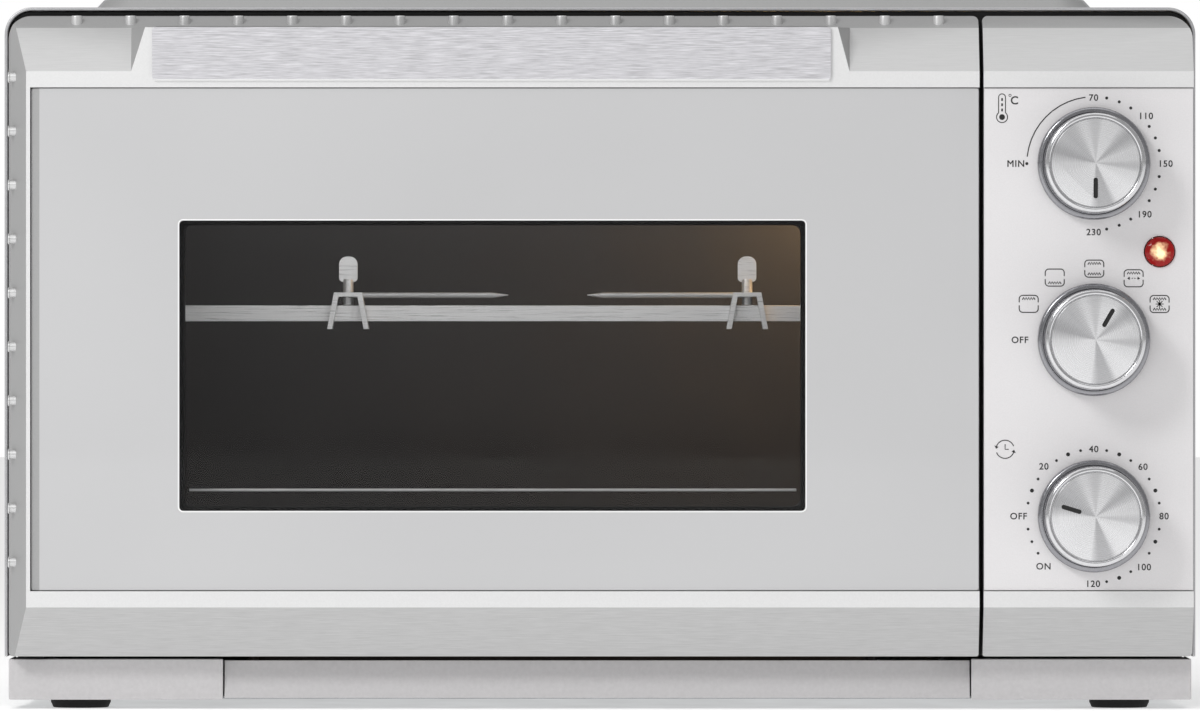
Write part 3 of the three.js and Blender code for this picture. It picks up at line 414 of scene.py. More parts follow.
def clear_glass():
    """Float glass: see-through, with a mirror gloss that grows towards grazing angles."""
    made, tree, surface, place = finish("clear float glass")
    output = surface.outputs["BSDF"].links[0].to_node
    tree.nodes.remove(surface)
    smear = node(tree, "TexNoise", {"Scale": 1 / (45 * MM)}, {"Vector": place})  # 45 mm wiping marks
    rough = node(tree, "MapRange", between(0.01, 0.035), {"Value": smear})
    gloss = node(tree, "BsdfGlossy", {"Color": (1, 1, 1, 1)}, {"Roughness": rough})
    through = node(tree, "BsdfTransparent", {"Color": linear("#fdfdfd")})
    facing = node(tree, "Fresnel", {"IOR": 1.2})
    node(tree, "MixShader", {}, {"Fac": facing, 1: through, 2: gloss}, (output, "Surface"))
    return made


def even(name, tone, rough, metallic=0.0, grain_mm=0.5, depth_mm=0.02, variation=0.04, **more):
    """A moulded, sprayed or printed finish: fine grain of one size with a little change of tone."""
    made, tree, surface, place = finish(name)
    grain = node(tree, "TexNoise", {"Scale": 1 / (grain_mm * MM), "Detail": 3}, {"Vector": place})
    darker, lighter = linear(tone, 1 - 2 * variation), linear(tone, 1 + 2 * variation)
    node(tree, "MixRGB", {"Color1": darker, "Color2": lighter}, {"Fac": grain}, (surface, "Base Color"))
    node(tree, "MapRange", between(rough - 0.04, rough + 0.05), {"Value": grain}, (surface, "Roughness"))
    node(tree, "Bump", {"Strength": 0.25, "Distance": depth_mm * MM}, {"Height": grain},
         (surface, "Normal"))
    put(surface, metallic=metallic, emission_color=(1, 1, 1, 1), **more)
    return made


def charcoal_enamel():
    """Vitreous enamel fired on the cavity sheet: charcoal with fine pale flecks under a soft gloss."""
    made, tree, surface, place = finish("charcoal vitreous enamel")
    tone = colours().enamel
    clouds = node(tree, "TexNoise", {"Scale": 1 / (25 * MM), "Detail": 3}, {"Vector": place})
    base = node(tree, "MixRGB", {"Color1": linear(tone, 0.85), "Color2": linear(tone, 1.13)},
                {"Fac": clouds})
    flecks = node(tree, "TexNoise", {"Scale": 1 / (0.9 * MM)}, {"Vector": place})  # just under a millimetre
    sparse = node(tree, "MapRange", {"From Min": 0.66, "From Max": 0.72, "To Max": 0.35},
                  {"Value": flecks})
    node(tree, "MixRGB", {"Color2": linear(tone, 2.1)}, {"Fac": sparse, "Color1": base},
         (surface, "Base Color"))
    node(tree, "MapRange", between(0.36, 0.46), {"Value": clouds}, (surface, "Roughness"))
    node(tree, "Bump", {"Strength": 0.1, "Distance": 0.03 * MM}, {"Height": flecks}, (surface, "Normal"))
    put(surface, coat_weight=0.1, coat_roughness=0.2, specular_ior_level=0.3)
    return made


def galvanised():
    """Hot-dip galvanised sheet: the zinc's crystals show as soft-edged patches about 9 mm across."""
    made, tree, surface, place = finish("galvanised steel sheet")
    spangle = node(tree, "TexVoronoi", {"Scale": 1 / (9 * MM)}, {"Vector": place})
    patch = node(tree, "SeparateColor", links={"Color": spangle.outputs["Color"]})
    node(tree, "MixRGB", {"Color1": linear("#8f9294"), "Color2": linear("#b3b6b8")}, {"Fac": patch},
         (surface, "Base Color"))
    node(tree, "MapRange", between(0.36, 0.52), {"Value": patch}, (surface, "Roughness"))
    put(surface, metallic=0.9)
    return made


def spun_aluminium(name, centre):
    """Spun and diamond-turned aluminium: rings cut round the middle fan the light into bright wedges; darker
    wedges round the disc are painted reflection.
    """
    made, tree, surface, place = finish(name, shift=tuple(-v for v in centre))
    split = node(tree, "SeparateXYZ", links={"Vector": place})
    flat = node(tree, "CombineXYZ", links={"X": split.outputs["X"], "Z": split.outputs["Z"]})
    radius = node(tree, "VectorMath", {"operation": "LENGTH"}, {0: flat}).outputs["Value"]
    rings = node(tree, "TexNoise", {"noise_dimensions": "1D", "Scale": 1 / (0.35 * MM)}, {"W": radius})
    fine = node(tree, "MixRGB", {"Color1": linear("#e4e4e6"), "Color2": linear("#ebebec")},
                {"Fac": rings})  # turning marks 0.35 mm apart
    node(tree, "MapRange", between(0.26, 0.28), {"Value": rings}, (surface, "Roughness"))
    node(tree, "Bump", {"Strength": 0.01, "Distance": 0.001 * MM}, {"Height": rings}, (surface, "Normal"))
    outward = node(tree, "VectorMath", {"operation": "NORMALIZE"}, {0: flat})
    fan = node(tree, "TexNoise", {"Scale": 1.1, "Detail": 1}, {"Vector": outward})
    painted_reflection_wedges = node(tree, "MapRange", {"From Min": 0.44, "From Max": 0.54, "To Min": 0.5, "To Max": 0},
                 {"Value": fan})  # darker wedges round the disc: painted reflection
    node(tree, "MixRGB", {"Color2": linear("#77777a")}, {"Fac": painted_reflection_wedges, "Color1": fine},
         (surface, "Base Color"))
    turn = {"vector_type": "VECTOR", "convert_from": "OBJECT", "convert_to": "WORLD"}
    node(tree, "VectorTransform", turn, {"Vector": outward}, (surface, "Tangent"))
    put(surface, metallic=0.62, anisotropic=0.88)
    return made


def lamp_jewel(centre):
    """Clear red moulded lens: the small warm lamp behind it shines through the middle."""
    made, tree, surface, place = finish("red moulded lens", shift=tuple(-v for v in centre))
    tone = colours().lamp
    split = node(tree, "SeparateXYZ", links={"Vector": place})
    flat = node(tree, "CombineXYZ", links={"X": split.outputs["X"], "Z": split.outputs["Z"]})
    radius = node(tree, "VectorMath", {"operation": "LENGTH"}, {0: flat}).outputs["Value"]
    swirl = node(tree, "TexNoise", {"Scale": 1 / (2.2 * MM)}, {"Vector": place})  # 2.2 mm facets
    shaken = node(tree, "Math", {"operation": "MULTIPLY_ADD", 1: 5 * MM}, {0: swirl, 2: radius})
    glow = node(tree, "MapRange", {"From Min": 3.4 * MM, "From Max": 6.2 * MM, "To Min": 1, "To Max": 0},
                {"Value": shaken})
    hot = node(tree, "MixRGB", {"Color1": linear(tone), "Color2": linear("#ffe2b0")}, {"Fac": glow},
               (surface, "Base Color"))
    tree.links.new(hot.outputs[0], surface.inputs["Emission Color"])
    node(tree, "MapRange", {"To Min": 0.02, "To Max": 0.75}, {"Value": glow},
         (surface, "Emission Strength"))
    put(surface, roughness=0.12, specular_ior_level=0.3)
    return made


MATERIALS = {}


def build_materials():
    """Makes every finish once, from the colours in force."""
    tint = colours()
    MATERIALS.update(
        lacquer=silver_lacquer(),
        band=even("satin silver lacquer on moulding", tint.moulding, 0.4, 0.15, 0.6, 0.01, 0.012),
        slope=brushed("brushed silver film on the upper slope", tint.slope, 0.3, 9, 0.03, 0.42, 0.3),
        lower_slope=brushed("brushed silver film on the lower slope", tint.lower_slope, 0.34, 9, 0.06, 0.42,
                            0.3),
        # The same grey is also used as painted shade on the roof's pressed rise and on the glass's left
        # chamfer.
        rim=even("satin grey lacquer on the rim", tint.rim, 0.45, 0.3, 0.6, 0.01, 0.02),
        plinth=even("fine-grained silver lacquer on moulding", tint.plinth, 0.5, 0.1, 1.4, 0.03, 0.02),
        stud=even("satin chrome studs", "#d8d8d8", 0.34, 0.5, 1.5, 0.001, 0.01),
        # Flat white for the strip under the handle plate and the line round the window: painted highlight.
        line=even("white painted highlight", "#f4f4f4", 0.5, 0.0, 0.4, 0.005, 0.01),
        handle=brushed("brushed anodised aluminium", tint.handle, 0.36, 9, 0.15, 0.34, 0.5),
        steel=brushed("drawn bright steel", tint.steel, 0.3, 18, 0.05, 0.3, 0.45),
        paint=back_painted_glass(),
        glass=clear_glass(),
        enamel=charcoal_enamel(),
        zinc=galvanised(),
        plate=even("satin white lacquered plate", tint.plate, 0.42, grain_mm=0.45, depth_mm=0.015,
                   variation=0.012, coat_weight=0.15, coat_roughness=0.3),
        ink=even("dark grey screen print", tint.print_ink, 0.6, grain_mm=0.2, variation=0.08),
        border=even("black ceramic print", "#060606", 0.6, grain_mm=0.3, variation=0.1,
                    specular_ior_level=0.2),
        chrome=even("satin chrome on moulding", "#d6d6d8", 0.16, 1.0, 1.2, 0.005, 0.02),
        # The skirt's chrome is a darker copy of the cap's chrome: painted shade.
        smoked=even("chrome on moulding darkened as painted shade", "#98989c", 0.2, 1.0, 1.2, 0.005, 0.03),
        rubber=even("black rubber", tint.rubber, 0.78, 0.0, 0.35, 0.04, 0.12),
        black=even("black moulded nylon", "#1b1b1c", 0.5, 0.0, 0.4, 0.03, 0.1),
        sheath=even("heat-tinted steel sheath", "#5a5450", 0.45, 0.85, 4, 0.02, 0.12),
        plastic=even("ivory moulded polyester", "#dcd8cc", 0.5, 0.0, 0.5, 0.03, 0.03),
        lens=lamp_jewel(lamp_centre()),
    )


# ---- shapes of the front ----
def front_section():
    """The section that the door frame and the control fascia share, as (y, z) points."""
    s = sizes()
    low, high, back = DOOR_LOW.z, DOOR_HIGH.z, DOOR_HIGH.y
    return [
        (FRONT + s.lower_slope_depth, low), (back - MM, low), (back, low + MM), (back, high),
        (FRONT + s.rim_depth, high), (FRONT + s.slope_depth, high - s.rim_height),
        (FRONT, high - s.rim_height - s.slope_height), (FRONT, low + s.lower_slope_height),
    ]


def front_body(low, high, radii):
    """The shared section along one stretch of the front, with the corners of its outline rounded."""
    body = extruded(front_section(), "yz", low.x, high.x)
    face = slab((low.x, high.x, low.z, high.z), radii, 16, FRONT - 2 * MM, high.y + 2 * MM)
    return combined(body, [face], "INTERSECT")


def glass_rows():
    """Lower and upper edge of the glass and of the control plate."""
    low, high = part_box("door_outer_glass")
    return low.z, high.z


def window_edges(grow=0.0):
    """The clear window in the door glass: its left, right, lower and upper edge."""
    s = sizes()
    bottom, top = glass_rows()
    return (DOOR_LOW.x + s.window_left - grow, DOOR_HIGH.x - s.window_right + grow,
            bottom + s.window_below - grow, top - s.window_above + grow)


def side_draft():
    """What the lean of the door's left face takes away."""
    s = sizes()
    ahead = 4 * MM
    lean = s.side_draft * (1 + ahead / s.rim_depth)
    x, front, back = DOOR_LOW.x, FRONT - ahead, FRONT + s.rim_depth
    edge = [(x, back), (x + lean, front), (x - MM, front), (x - MM, back)]
    return extruded(edge, "xy", 0, CAD_BOX[1].z)


def handle_tab():
    """The tab behind the handle plate; its ends lean out towards the sloped band."""
    s = sizes()
    plate_low, plate_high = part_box("handle_plate")
    low, high = glass_rows()[1] + s.band_height - MM, DOOR_HIGH.z - s.rim_height
    foot_left, foot_right, head_left, head_right = 8 * MM, 7 * MM, 2.6 * MM, 2.5 * MM
    foot = (plate_low.x - foot_left, plate_high.x + foot_right)
    head = (plate_low.x - head_left, plate_high.x + head_right)
    tab = extruded([(foot[0], low), (foot[1], low), (head[1], high), (head[0], high)], "xz", FRONT,
                   FRONT + s.slope_depth)
    for v in tab.verts:
        if v.co.y > FRONT + MM:
            v.co.x += foot[0] - head[0] if v.co.x < (foot[0] + foot[1]) / 2 else foot[1] - head[1]
    return tab


def finger_gap():
    """The room for fingers behind the handle tab."""
    s = sizes()
    low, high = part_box("handle_plate")
    step = 1.5 * MM
    corner = (low.x + MM, FRONT + s.tab_thick, glass_rows()[1] + s.band_height + step)
    return block(corner, (high.x - MM, FRONT + s.recess_depth, DOOR_HIGH.z + MM))


def rim_studs():
    """Short round studs moulded on the rim, along its top and down its left side."""
    s = sizes()
    crown, r = 0.5 * MM, s.stud_radius
    from_left, from_top = 25 * MM, 22.5 * MM
    behind_face, side_behind_face = 15.2 * MM, 13 * MM
    tall, deep = 7 * MM, 8 * MM
    studs = []
    top = DOOR_HIGH.z
    cap = arc((r - crown, top - crown), crown, 0, 90, 4)
    for k in range(s.top_studs):
        profile = [(0, top - tall), (r, top - tall), (r, top - crown), *cap, (0, top)]
        place = (DOOR_LOW.x + from_left + k * s.stud_pitch, FRONT + behind_face, 0)
        studs.append(turned(profile, place, "z", 32))
    left = DOOR_LOW.x
    rim = [(r - p[1], left + p[0]) for p in arc((crown, crown), crown, 180, 270, 4)]
    profile = [(0, left), *rim[::-1], (r, left + deep), (0, left + deep)]
    for k in range(s.side_studs):
        place = (0, FRONT + side_behind_face, DOOR_HIGH.z - from_top - k * s.stud_pitch)
        studs.append(turned(without_repeats(profile), place, "x", 32))
    return joined(studs)


def without_repeats(profile):
    """A profile without points that repeat."""
    kept = [profile[0]]
    for point in profile[1:]:
        if math.dist(point, kept[-1]) > 0.001 * MM:
            kept.append(point)
    return kept


def behind_band(pivot, ear, top):
    """Room behind the bottom band, up to a height, that leaves a wall along the band's sloped face."""
    s = sizes()
    slope = Vector((-s.lower_slope_depth, s.lower_slope_height)).normalized()
    start = Vector((FRONT + s.lower_slope_depth, DOOR_LOW.z)) + Vector((slope.y, -slope.x)) * s.ear_wall
    ahead = 7 * MM
    near, far, back = pivot.y - ear / 2, pivot.y - ahead, DOOR_HIGH.y + MM
    heights = [start.y + (y - start.x) / slope.x * slope.y for y in (near, far)]
    low = DOOR_LOW.z - MM
    return [(near, low), (near, heights[0]), (far, heights[1]), (far, top), (back, top), (back, low)]


def hinge_slots():
    """Room in the door frame for the hinge arms and the ears that hold their pins."""
    cuts = []
    for side in ("left", "right"):
        arm_low, arm_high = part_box(f"hinge_arm_{side}")
        ear_low, ear_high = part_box(f"hinge_bracket_{side}")
        ear = ear_high.z - (ear_low.z + ear_high.z) / 2
        pivot = Vector((0, ear_low.y + ear, ear_high.z - ear))
        inner = arm_high.x if side == "left" else arm_low.x
        arm, above_arm, above_ear = 2.3 * MM, 2 * MM, 8 * MM
        plate = (inner - arm, inner + GAP) if side == "left" else (inner - GAP, inner + arm)
        wide = sorted((*plate, ear_low.x - MM, ear_high.x + MM))
        cuts.append(extruded(behind_band(pivot, ear, arm_high.z + above_arm), "yz", *plate))
        cuts.append(extruded(behind_band(pivot, ear, ear_high.z + above_ear), "yz", wide[0], wide[-1]))
    return cuts


def door_body():
    """The door frame with its handle tab, and room for the glass, the liner and the hinges."""
    s = sizes()
    low, high = DOOR_LOW, DOOR_HIGH
    body = front_body(low, high, (1.5 * MM, 0.8 * MM, 2 * MM, s.corner_radius))
    glass_low, glass_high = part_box("door_outer_glass")
    rebate = block((low.x + s.glass_margin - GAP, FRONT - MM, glass_low.z - GAP),
                   (high.x + MM, glass_high.y + GAP, glass_high.z + GAP))
    liner_low, liner_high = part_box("door_liner")
    hollow = block((liner_low.x - GAP, FRONT, liner_low.z - GAP),
                   (liner_high.x + GAP, high.y + MM, liner_high.z + GAP))
    body = combined(cut(body, [side_draft(), rebate, hollow]), [handle_tab()], "UNION")
    return cut(body, [finger_gap(), *hinge_slots()])


FRONT_FINISHES = ("band", "slope", "lower_slope", "rim")


def band_of(face):
    """Which band of the front a face lies on: 0 flat, 1 upper slope, 2 lower slope, 3 rim and the rest."""
    s = sizes()
    middle, normal = face.calc_center_median(), face.normal
    if normal.y < -0.98:
        return 0 if middle.y < FRONT + 2 * MM else 3
    if normal.y < -0.3 and abs(normal.x) < 0.2 and middle.z < DOOR_HIGH.z - s.rim_height:
        return 1 if normal.z > 0 else 2
    return 3


class OVEN_OT_door_frame(bpy.types.Operator):
    """Moulded door frame with its brushed bands, studded rim and handle tab"""

    bl_idname = "oven.door_frame"
    bl_label = "Door frame"

    def execute(self, context):
        piece("door_frame_moulding", door_body(), FRONT_FINISHES, "door", ["door_frame"],
              bevel=0.35 * MM, smooth=30, paint=band_of)
        piece("door_rim_studs", rim_studs(), "stud", "door")
        return {"FINISHED"}


class OVEN_OT_handle(bpy.types.Operator):
    """Brushed aluminium plate on the handle tab, with a white strip under it that is a painted highlight"""

    bl_idname = "oven.handle"
    bl_label = "Handle plate"

    def execute(self, context):
        low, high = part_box("handle_plate")
        plate = slab((low.x, high.x, low.z, high.z), MM, 8, low.y, high.y)
        piece("handle_brushed_plate", plate, "handle", "door", ["handle_plate"],
              bevel=0.25 * MM)
        # A white strip along the plate's lower edge: painted highlight.
        inset, drop, seam = 0.6 * MM, 0.5 * MM, 0.05 * MM
        below = (low.x + inset, high.x - inset, low.z - drop, low.z - seam)
        edge = slab(below, 0.2 * MM, 4, low.y + 0.15 * MM, high.y)
        piece("handle_painted_highlight_strip", edge, "line", "door")
        return {"FINISHED"}


class OVEN_OT_door_glass(bpy.types.Operator):
    """Outer door glass: a painted pane, the clear window in it, the border printed there, and a white line
    round the window that is a painted highlight
    """

    bl_idname = "oven.door_glass"
    bl_label = "Door glass"

    def execute(self, context):
        low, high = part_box("door_outer_glass")
        window = window_edges()
        radius = 1.5 * MM
        hole = slab(window, radius, 8, low.y - MM, high.y + MM)
        pane = cut(slab((low.x, high.x, low.z, high.z), 0.8 * MM, 6, low.y, high.y), [hole])
        wide, deep = 8.2 * MM, 0.78 * MM
        chamfer = [(low.x - MM, low.y - MM), (low.x + wide, low.y - MM), (low.x - MM, low.y + deep)]
        pane = cut(pane, [extruded(chamfer, "xy", low.z - MM, high.z + MM)])
        # The faces of the left chamfer, turned a little to the left, get the darker rim grey: painted shade.
        piece("door_glass_painted_pane", pane, ["paint", "rim"], "door",
              ["door_outer_glass"], bevel=0.3 * MM, paint=lambda f: 1 if -0.5 < f.normal.x < -0.08 else 0)
        gap, border, line = 0.12 * MM, 1.5 * MM, 0.55 * MM
        edges = window_edges(-gap)
        clear = slab(edges, radius, 8, low.y + 0.1 * MM, high.y - 0.6 * MM)
        piece("door_window_glass", clear, "glass", "door", bevel=0.15 * MM)
        inside = slab(window_edges(-border), radius, 8, low.y, high.y + MM)
        ring = cut(slab(edges, radius, 8, high.y - 0.5 * MM, high.y), [inside])
        piece("door_window_border", ring, "border", "door")
        # A thin white line round the window, on the glass's front: painted highlight.
        lift = 0.03 * MM
        outline = cut(slab(window_edges(line), radius + line, 8, low.y - lift, low.y + lift),
                      [slab(window, radius, 8, low.y - MM, low.y + MM)])
        piece("door_window_highlight_line", outline, "line", "door")
        return {"FINISHED"}


class OVEN_OT_door_inside(bpy.types.Operator):
    """Door liner, inner glass, seal and hinge arms"""

    bl_idname = "oven.door_inside"
    bl_label = "Door inside"

    def execute(self, context):
        piece("door_liner_sheet", from_node("door_liner"), "enamel", "door",
              ["door_liner"], bevel=0.5 * MM)
        piece("door_inner_pane", from_node("door_inner_glass"), "glass", "door",
              ["door_inner_glass"], bevel=0.4 * MM)
        # A bright steel rod along the window's lower edge only: painted highlight on the liner's lip.
        inset, radius, above = 3 * MM, 0.55 * MM, 4.4 * MM
        x0, x1, z0, _ = window_edges(-inset)
        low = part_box("door_liner")[0]
        lip = rod("x", radius, x0, x1, (0, low.y - 0.2 * MM, z0 + above), 16)
        piece("door_liner_lip_highlight", lip, "steel", "door")
        piece("door_seal_strip", from_node("door_seal"), "rubber", "door", ["door_seal"],
              bevel=0.3 * MM)
        for side in ("left", "right"):
            piece(f"hinge_sickle_{side}", from_node(f"hinge_arm_{side}"), "zinc", "door",
                  [f"hinge_arm_{side}"], bevel=0.2 * MM)
            piece(f"hinge_ear_{side}", from_node(f"hinge_bracket_{side}"), "zinc", "housing",
                  [f"hinge_bracket_{side}"], bevel=0.2 * MM)
        return {"FINISHED"}


class OVEN_OT_fascia(bpy.types.Operator):
    """Control fascia: the same section as the door, with a rebate for the printed plate"""

    bl_idname = "oven.fascia"
    bl_label = "Control fascia"

    def execute(self, context):
        s = sizes()
        low, high = FASCIA_LOW, FASCIA_HIGH
        plate_low, plate_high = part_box("control_plate")
        body = front_body(low, high, (0.8 * MM, 1.5 * MM, s.corner_radius, 2 * MM))
        seat = plate_high.y + GAP
        rebate = block((low.x - MM, FRONT - MM, plate_low.z - GAP), (high.x + MM, seat, plate_high.z + GAP))
        wall, foot = 2.5 * MM, 14 * MM
        hollow = block((low.x + wall, seat + wall, low.z + foot),
                       (high.x - wall, high.y + MM, high.z - s.rim_height - s.slope_height))
        piece("control_fascia_moulding", cut(body, [rebate, hollow, *control_holes(high.y + MM)]),
              FRONT_FINISHES, "housing", ["control_fascia"], bevel=0.35 * MM, smooth=30,
              paint=band_of)
        plate = cut(block(plate_low, plate_high), control_holes(seat))
        piece("control_print_plate", plate, "plate", "housing", ["control_plate"],
              bevel=0.2 * MM)
        return {"FINISHED"}


CONTROLS = ("temperature", "function", "timer")


def knob_centre(name):
    """Middle of a knob, at the front's depth."""
    low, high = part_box(f"{name}_knob_face")
    return Vector(((low.x + high.x) / 2, FRONT, (low.z + high.z) / 2))


def lamp_centre():
    """Middle of the lamp, at the front's depth."""
    low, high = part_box("lamp_lens")
    return Vector(((low.x + high.x) / 2, FRONT, (low.z + high.z) / 2))


def control_holes(back):
    """Holes for the knob stems and the lamp, from in front of the plate to a place behind it."""
    stem_hole, lamp_hole = 4.4 * MM, 5.7 * MM
    stems = [rod("y", stem_hole, FRONT - MM, back, knob_centre(name)) for name in CONTROLS]
    return [*stems, rod("y", lamp_hole, FRONT - MM, back, lamp_centre(), 48)]


# ---- controls ----
STEM_RADIUS = 3.9 * MM
CAP_RADIUS = 18.15 * MM
FACE_SEAT = 16.25 * MM  # radius of the sunk seat that the turned disc lies in
FACE_RADIUS = 15.95 * MM
FACE_DEPTH = 1.5 * MM  # cap's top to the bottom of that seat
SKIRT_FRONT = -4.6 * MM
POINTER_NEAR, POINTER_FAR, POINTER_HALF = 5.4 * MM, 12.9 * MM, 0.8 * MM


def knob_height(name):
    """How far a knob's cap stands off the plate."""
    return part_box("control_plate")[0].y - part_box(f"{name}_knob")[0].y


def knob_skirt(name, centre):
    """Flared ring behind the cap, with the stem that passes through the plate."""
    low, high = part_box(f"{name}_knob")
    radius, edge, foot, back = (high.x - low.x) / 2, 1.3 * MM, 0.4 * MM, high.y - centre.y
    profile = [
        (0, back), (STEM_RADIUS, back), (STEM_RADIUS, -GAP), (radius - foot, -GAP), (radius, -GAP - foot),
        (radius, SKIRT_FRONT + edge), *arc((radius - edge, SKIRT_FRONT + edge), edge, 0, -90, 8)[1:],
        (18.7 * MM, SKIRT_FRONT), (18.4 * MM, SKIRT_FRONT + 0.6 * MM), (0, SKIRT_FRONT + 0.6 * MM),
    ]
    return turned(profile, centre, "y", ROUND * 2)


def knob_cap(name, centre):
    """Cap with a rolled lip round the sunk face."""
    top = -knob_height(name)
    back, lip, shoulder = -3.9 * MM, 0.75 * MM, 1.1 * MM
    profile = [
        (0, back), (CAP_RADIUS, back), (CAP_RADIUS, top + 1.6 * MM),
        *arc((CAP_RADIUS - shoulder, top + 1.2 * MM), shoulder, 0, -75, 8),
        *arc((FACE_SEAT + lip, top + lip), lip, -90, -180, 6), (FACE_SEAT, top + FACE_DEPTH),
        (0, top + FACE_DEPTH),
    ]
    return turned(profile, centre, "y", ROUND * 2)


def knob_face(name, centre, turn):
    """Thin turned disc with a sunk pointer; turn is clockwise from straight up, in degrees."""
    top = -knob_height(name)
    soft, sink, radius = 0.25 * MM, 0.5 * MM, FACE_RADIUS
    front, back = top + GAP, top + FACE_DEPTH
    profile = [(0, back), (radius, back), *arc((radius - soft, front + soft), soft, 0, -90, 4), (0, front)]
    disc = turned(profile, centre, "y", ROUND * 2)
    half = POINTER_HALF
    edges = (centre.x - half, centre.x + half, centre.z + POINTER_NEAR, centre.z + POINTER_FAR)
    slot = slab(edges, half * 0.98, 8, centre.y + front - MM, centre.y + front + sink)
    bmesh.ops.rotate(slot, cent=centre, matrix=Matrix.Rotation(math.radians(turn), 3, "Y"), verts=slot.verts)
    return cut(disc, [slot])


POINTERS = {"temperature": 180, "function": 30, "timer": -73}  # at rest, degrees clockwise from the top


class OVEN_OT_knobs(bpy.types.Operator):
    """Three knobs, each a skirt in darker chrome that is painted shade, a bright cap and a turned face with a
    sunk pointer
    """

    bl_idname = "oven.knobs"
    bl_label = "Knobs"

    def execute(self, context):
        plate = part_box("control_plate")[0].y
        for name in CONTROLS:
            centre = knob_centre(name)
            centre.y = plate
            body = f"{name}_knob"
            piece(f"{name}_skirt", knob_skirt(name, centre), "smoked", body, [f"{name}_knob"])
            piece(f"{name}_cap", knob_cap(name, centre), "chrome", body)
            sunk = centre.y - knob_height(name) + GAP + 0.05 * MM
            face = [spun_aluminium(f"spun aluminium {name} knob", centre), "ink"]
            piece(f"{name}_face", knob_face(name, centre, POINTERS[name]), face, body,
                  [f"{name}_knob_face"], smooth=25, paint=lambda f: in_pointer(f, centre, sunk))
        return {"FINISHED"}


def in_pointer(face, centre, sunk):
    """1 for the faces inside the sunk pointer, 0 for the rest of the disc."""
    middle = face.calc_center_median()
    within = math.hypot(middle.x - centre.x, middle.z - centre.z) < POINTER_FAR + 0.6 * MM
    return 1 if within and sunk < middle.y < sunk + 0.6 * MM else 0


class OVEN_OT_lamp(bpy.types.Operator):
    """Indicator lamp: a domed red lens in the plate's hole; its holder behind the plate is made with the
    fittings
    """

    bl_idname = "oven.lamp"
    bl_label = "Lamp"

    def execute(self, context):
        low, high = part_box("lamp_lens")
        centre = lamp_centre()
        centre.y = 0
        radius = (high.x - low.x) / 2
        rise = 1.5 * MM
        dome = (radius * radius + rise * rise) / (2 * rise)
        half = math.degrees(math.asin(radius / dome)) * 0.97
        curve = arc((0, low.y + dome), dome, -90 + half, -90, 12)
        profile = [(0, high.y), (radius - 0.3 * MM, high.y), (radius, low.y + rise + 0.6 * MM), *curve]
        piece("lamp_jewel_lens", turned(profile, centre, "y", ROUND), "lens", "housing",
              ["lamp_lens"], smooth=50)
        return {"FINISHED"}


# ---- print on the control plate ----
def lettering(text, height, x, z, y):
    """Flat letters of one height, centred on a place, standing off the plate at y."""
    spacing, thickening = 1.12, 0.014  # in units of the font
    curve = bpy.data.curves.new("lettering", "FONT")
    curve.body, curve.size, curve.extrude = text, 1.0, 0.1
    curve.space_character, curve.bevel_depth = spacing, thickening
    made = bpy.data.objects.new("lettering", curve)
    bpy.context.scene.collection.objects.link(made)
    bpy.context.view_layer.update()
    seen = made.evaluated_get(bpy.context.evaluated_depsgraph_get())
    bm = bmesh.new()
    bm.from_mesh(seen.to_mesh())
    seen.to_mesh_clear()
    bpy.data.objects.remove(made)
    bpy.data.curves.remove(curve)
    lows = [min(v.co[i] for v in bm.verts) for i in range(3)]
    highs = [max(v.co[i] for v in bm.verts) for i in range(3)]
    middle = [(a + b) / 2 for a, b in zip(lows, highs)]
    size = height / (highs[1] - lows[1])
    for v in bm.verts:
        over = y if v.co.z < middle[2] else y - sizes().print_lift
        v.co = Vector((x + (v.co.x - middle[0]) * size, over, z + (v.co.y - middle[1]) * size))
    bmesh.ops.recalc_face_normals(bm, faces=bm.faces)
    return bm


def stroke(points, width, y):
    """A printed line of even width through points in (x, z)."""
    left, right = [], []
    for i, (x, z) in enumerate(points):
        before, after = points[max(i - 1, 0)], points[min(i + 1, len(points) - 1)]
        run = Vector((after[0] - before[0], after[1] - before[1])).normalized()
        left.append((x - run.y * width / 2, z + run.x * width / 2))
        right.append((x + run.y * width / 2, z - run.x * width / 2))
    return extruded(left + right[::-1], "xz", y - sizes().print_lift, y)


def dot(x, z, radius, y):
    """A printed round dot."""
    return rod("y", radius, y - sizes().print_lift, y, (x, 0, z), 20)


def on_dial(centre, radius, turn):
    """A place round a knob; turn is clockwise from straight up, in degrees."""
    angle = math.radians(turn)
    return centre.x + radius * math.sin(angle), centre.z + radius * math.cos(angle)


def dial_marks(centre, labels, dots, height, y):
    """Numbers as (text, turn, radius) and the turns of the dots between them."""
    ring = sizes().dial_radius
    marks = [lettering(text, height, *on_dial(centre, radius * MM, turn), y) for text, turn, radius in labels]
    return marks + [dot(*on_dial(centre, ring, turn), size * MM, y) for turn, size in dots]


def three_between(start, step, gaps, size=0.55):
    """Turns of three dots in each of several gaps between numbers a step apart."""
    return [(start + step * (gap + k / 4), size) for gap in range(gaps) for k in (1, 2, 3)]


def zigzag(x, z, half, y):
    """The wavy line that stands for a heater."""
    points = [(x - half + 2 * half * i / 10, z + (0.4 if i % 2 else -0.4) * MM) for i in range(11)]
    return stroke(points, 0.42 * MM, y)


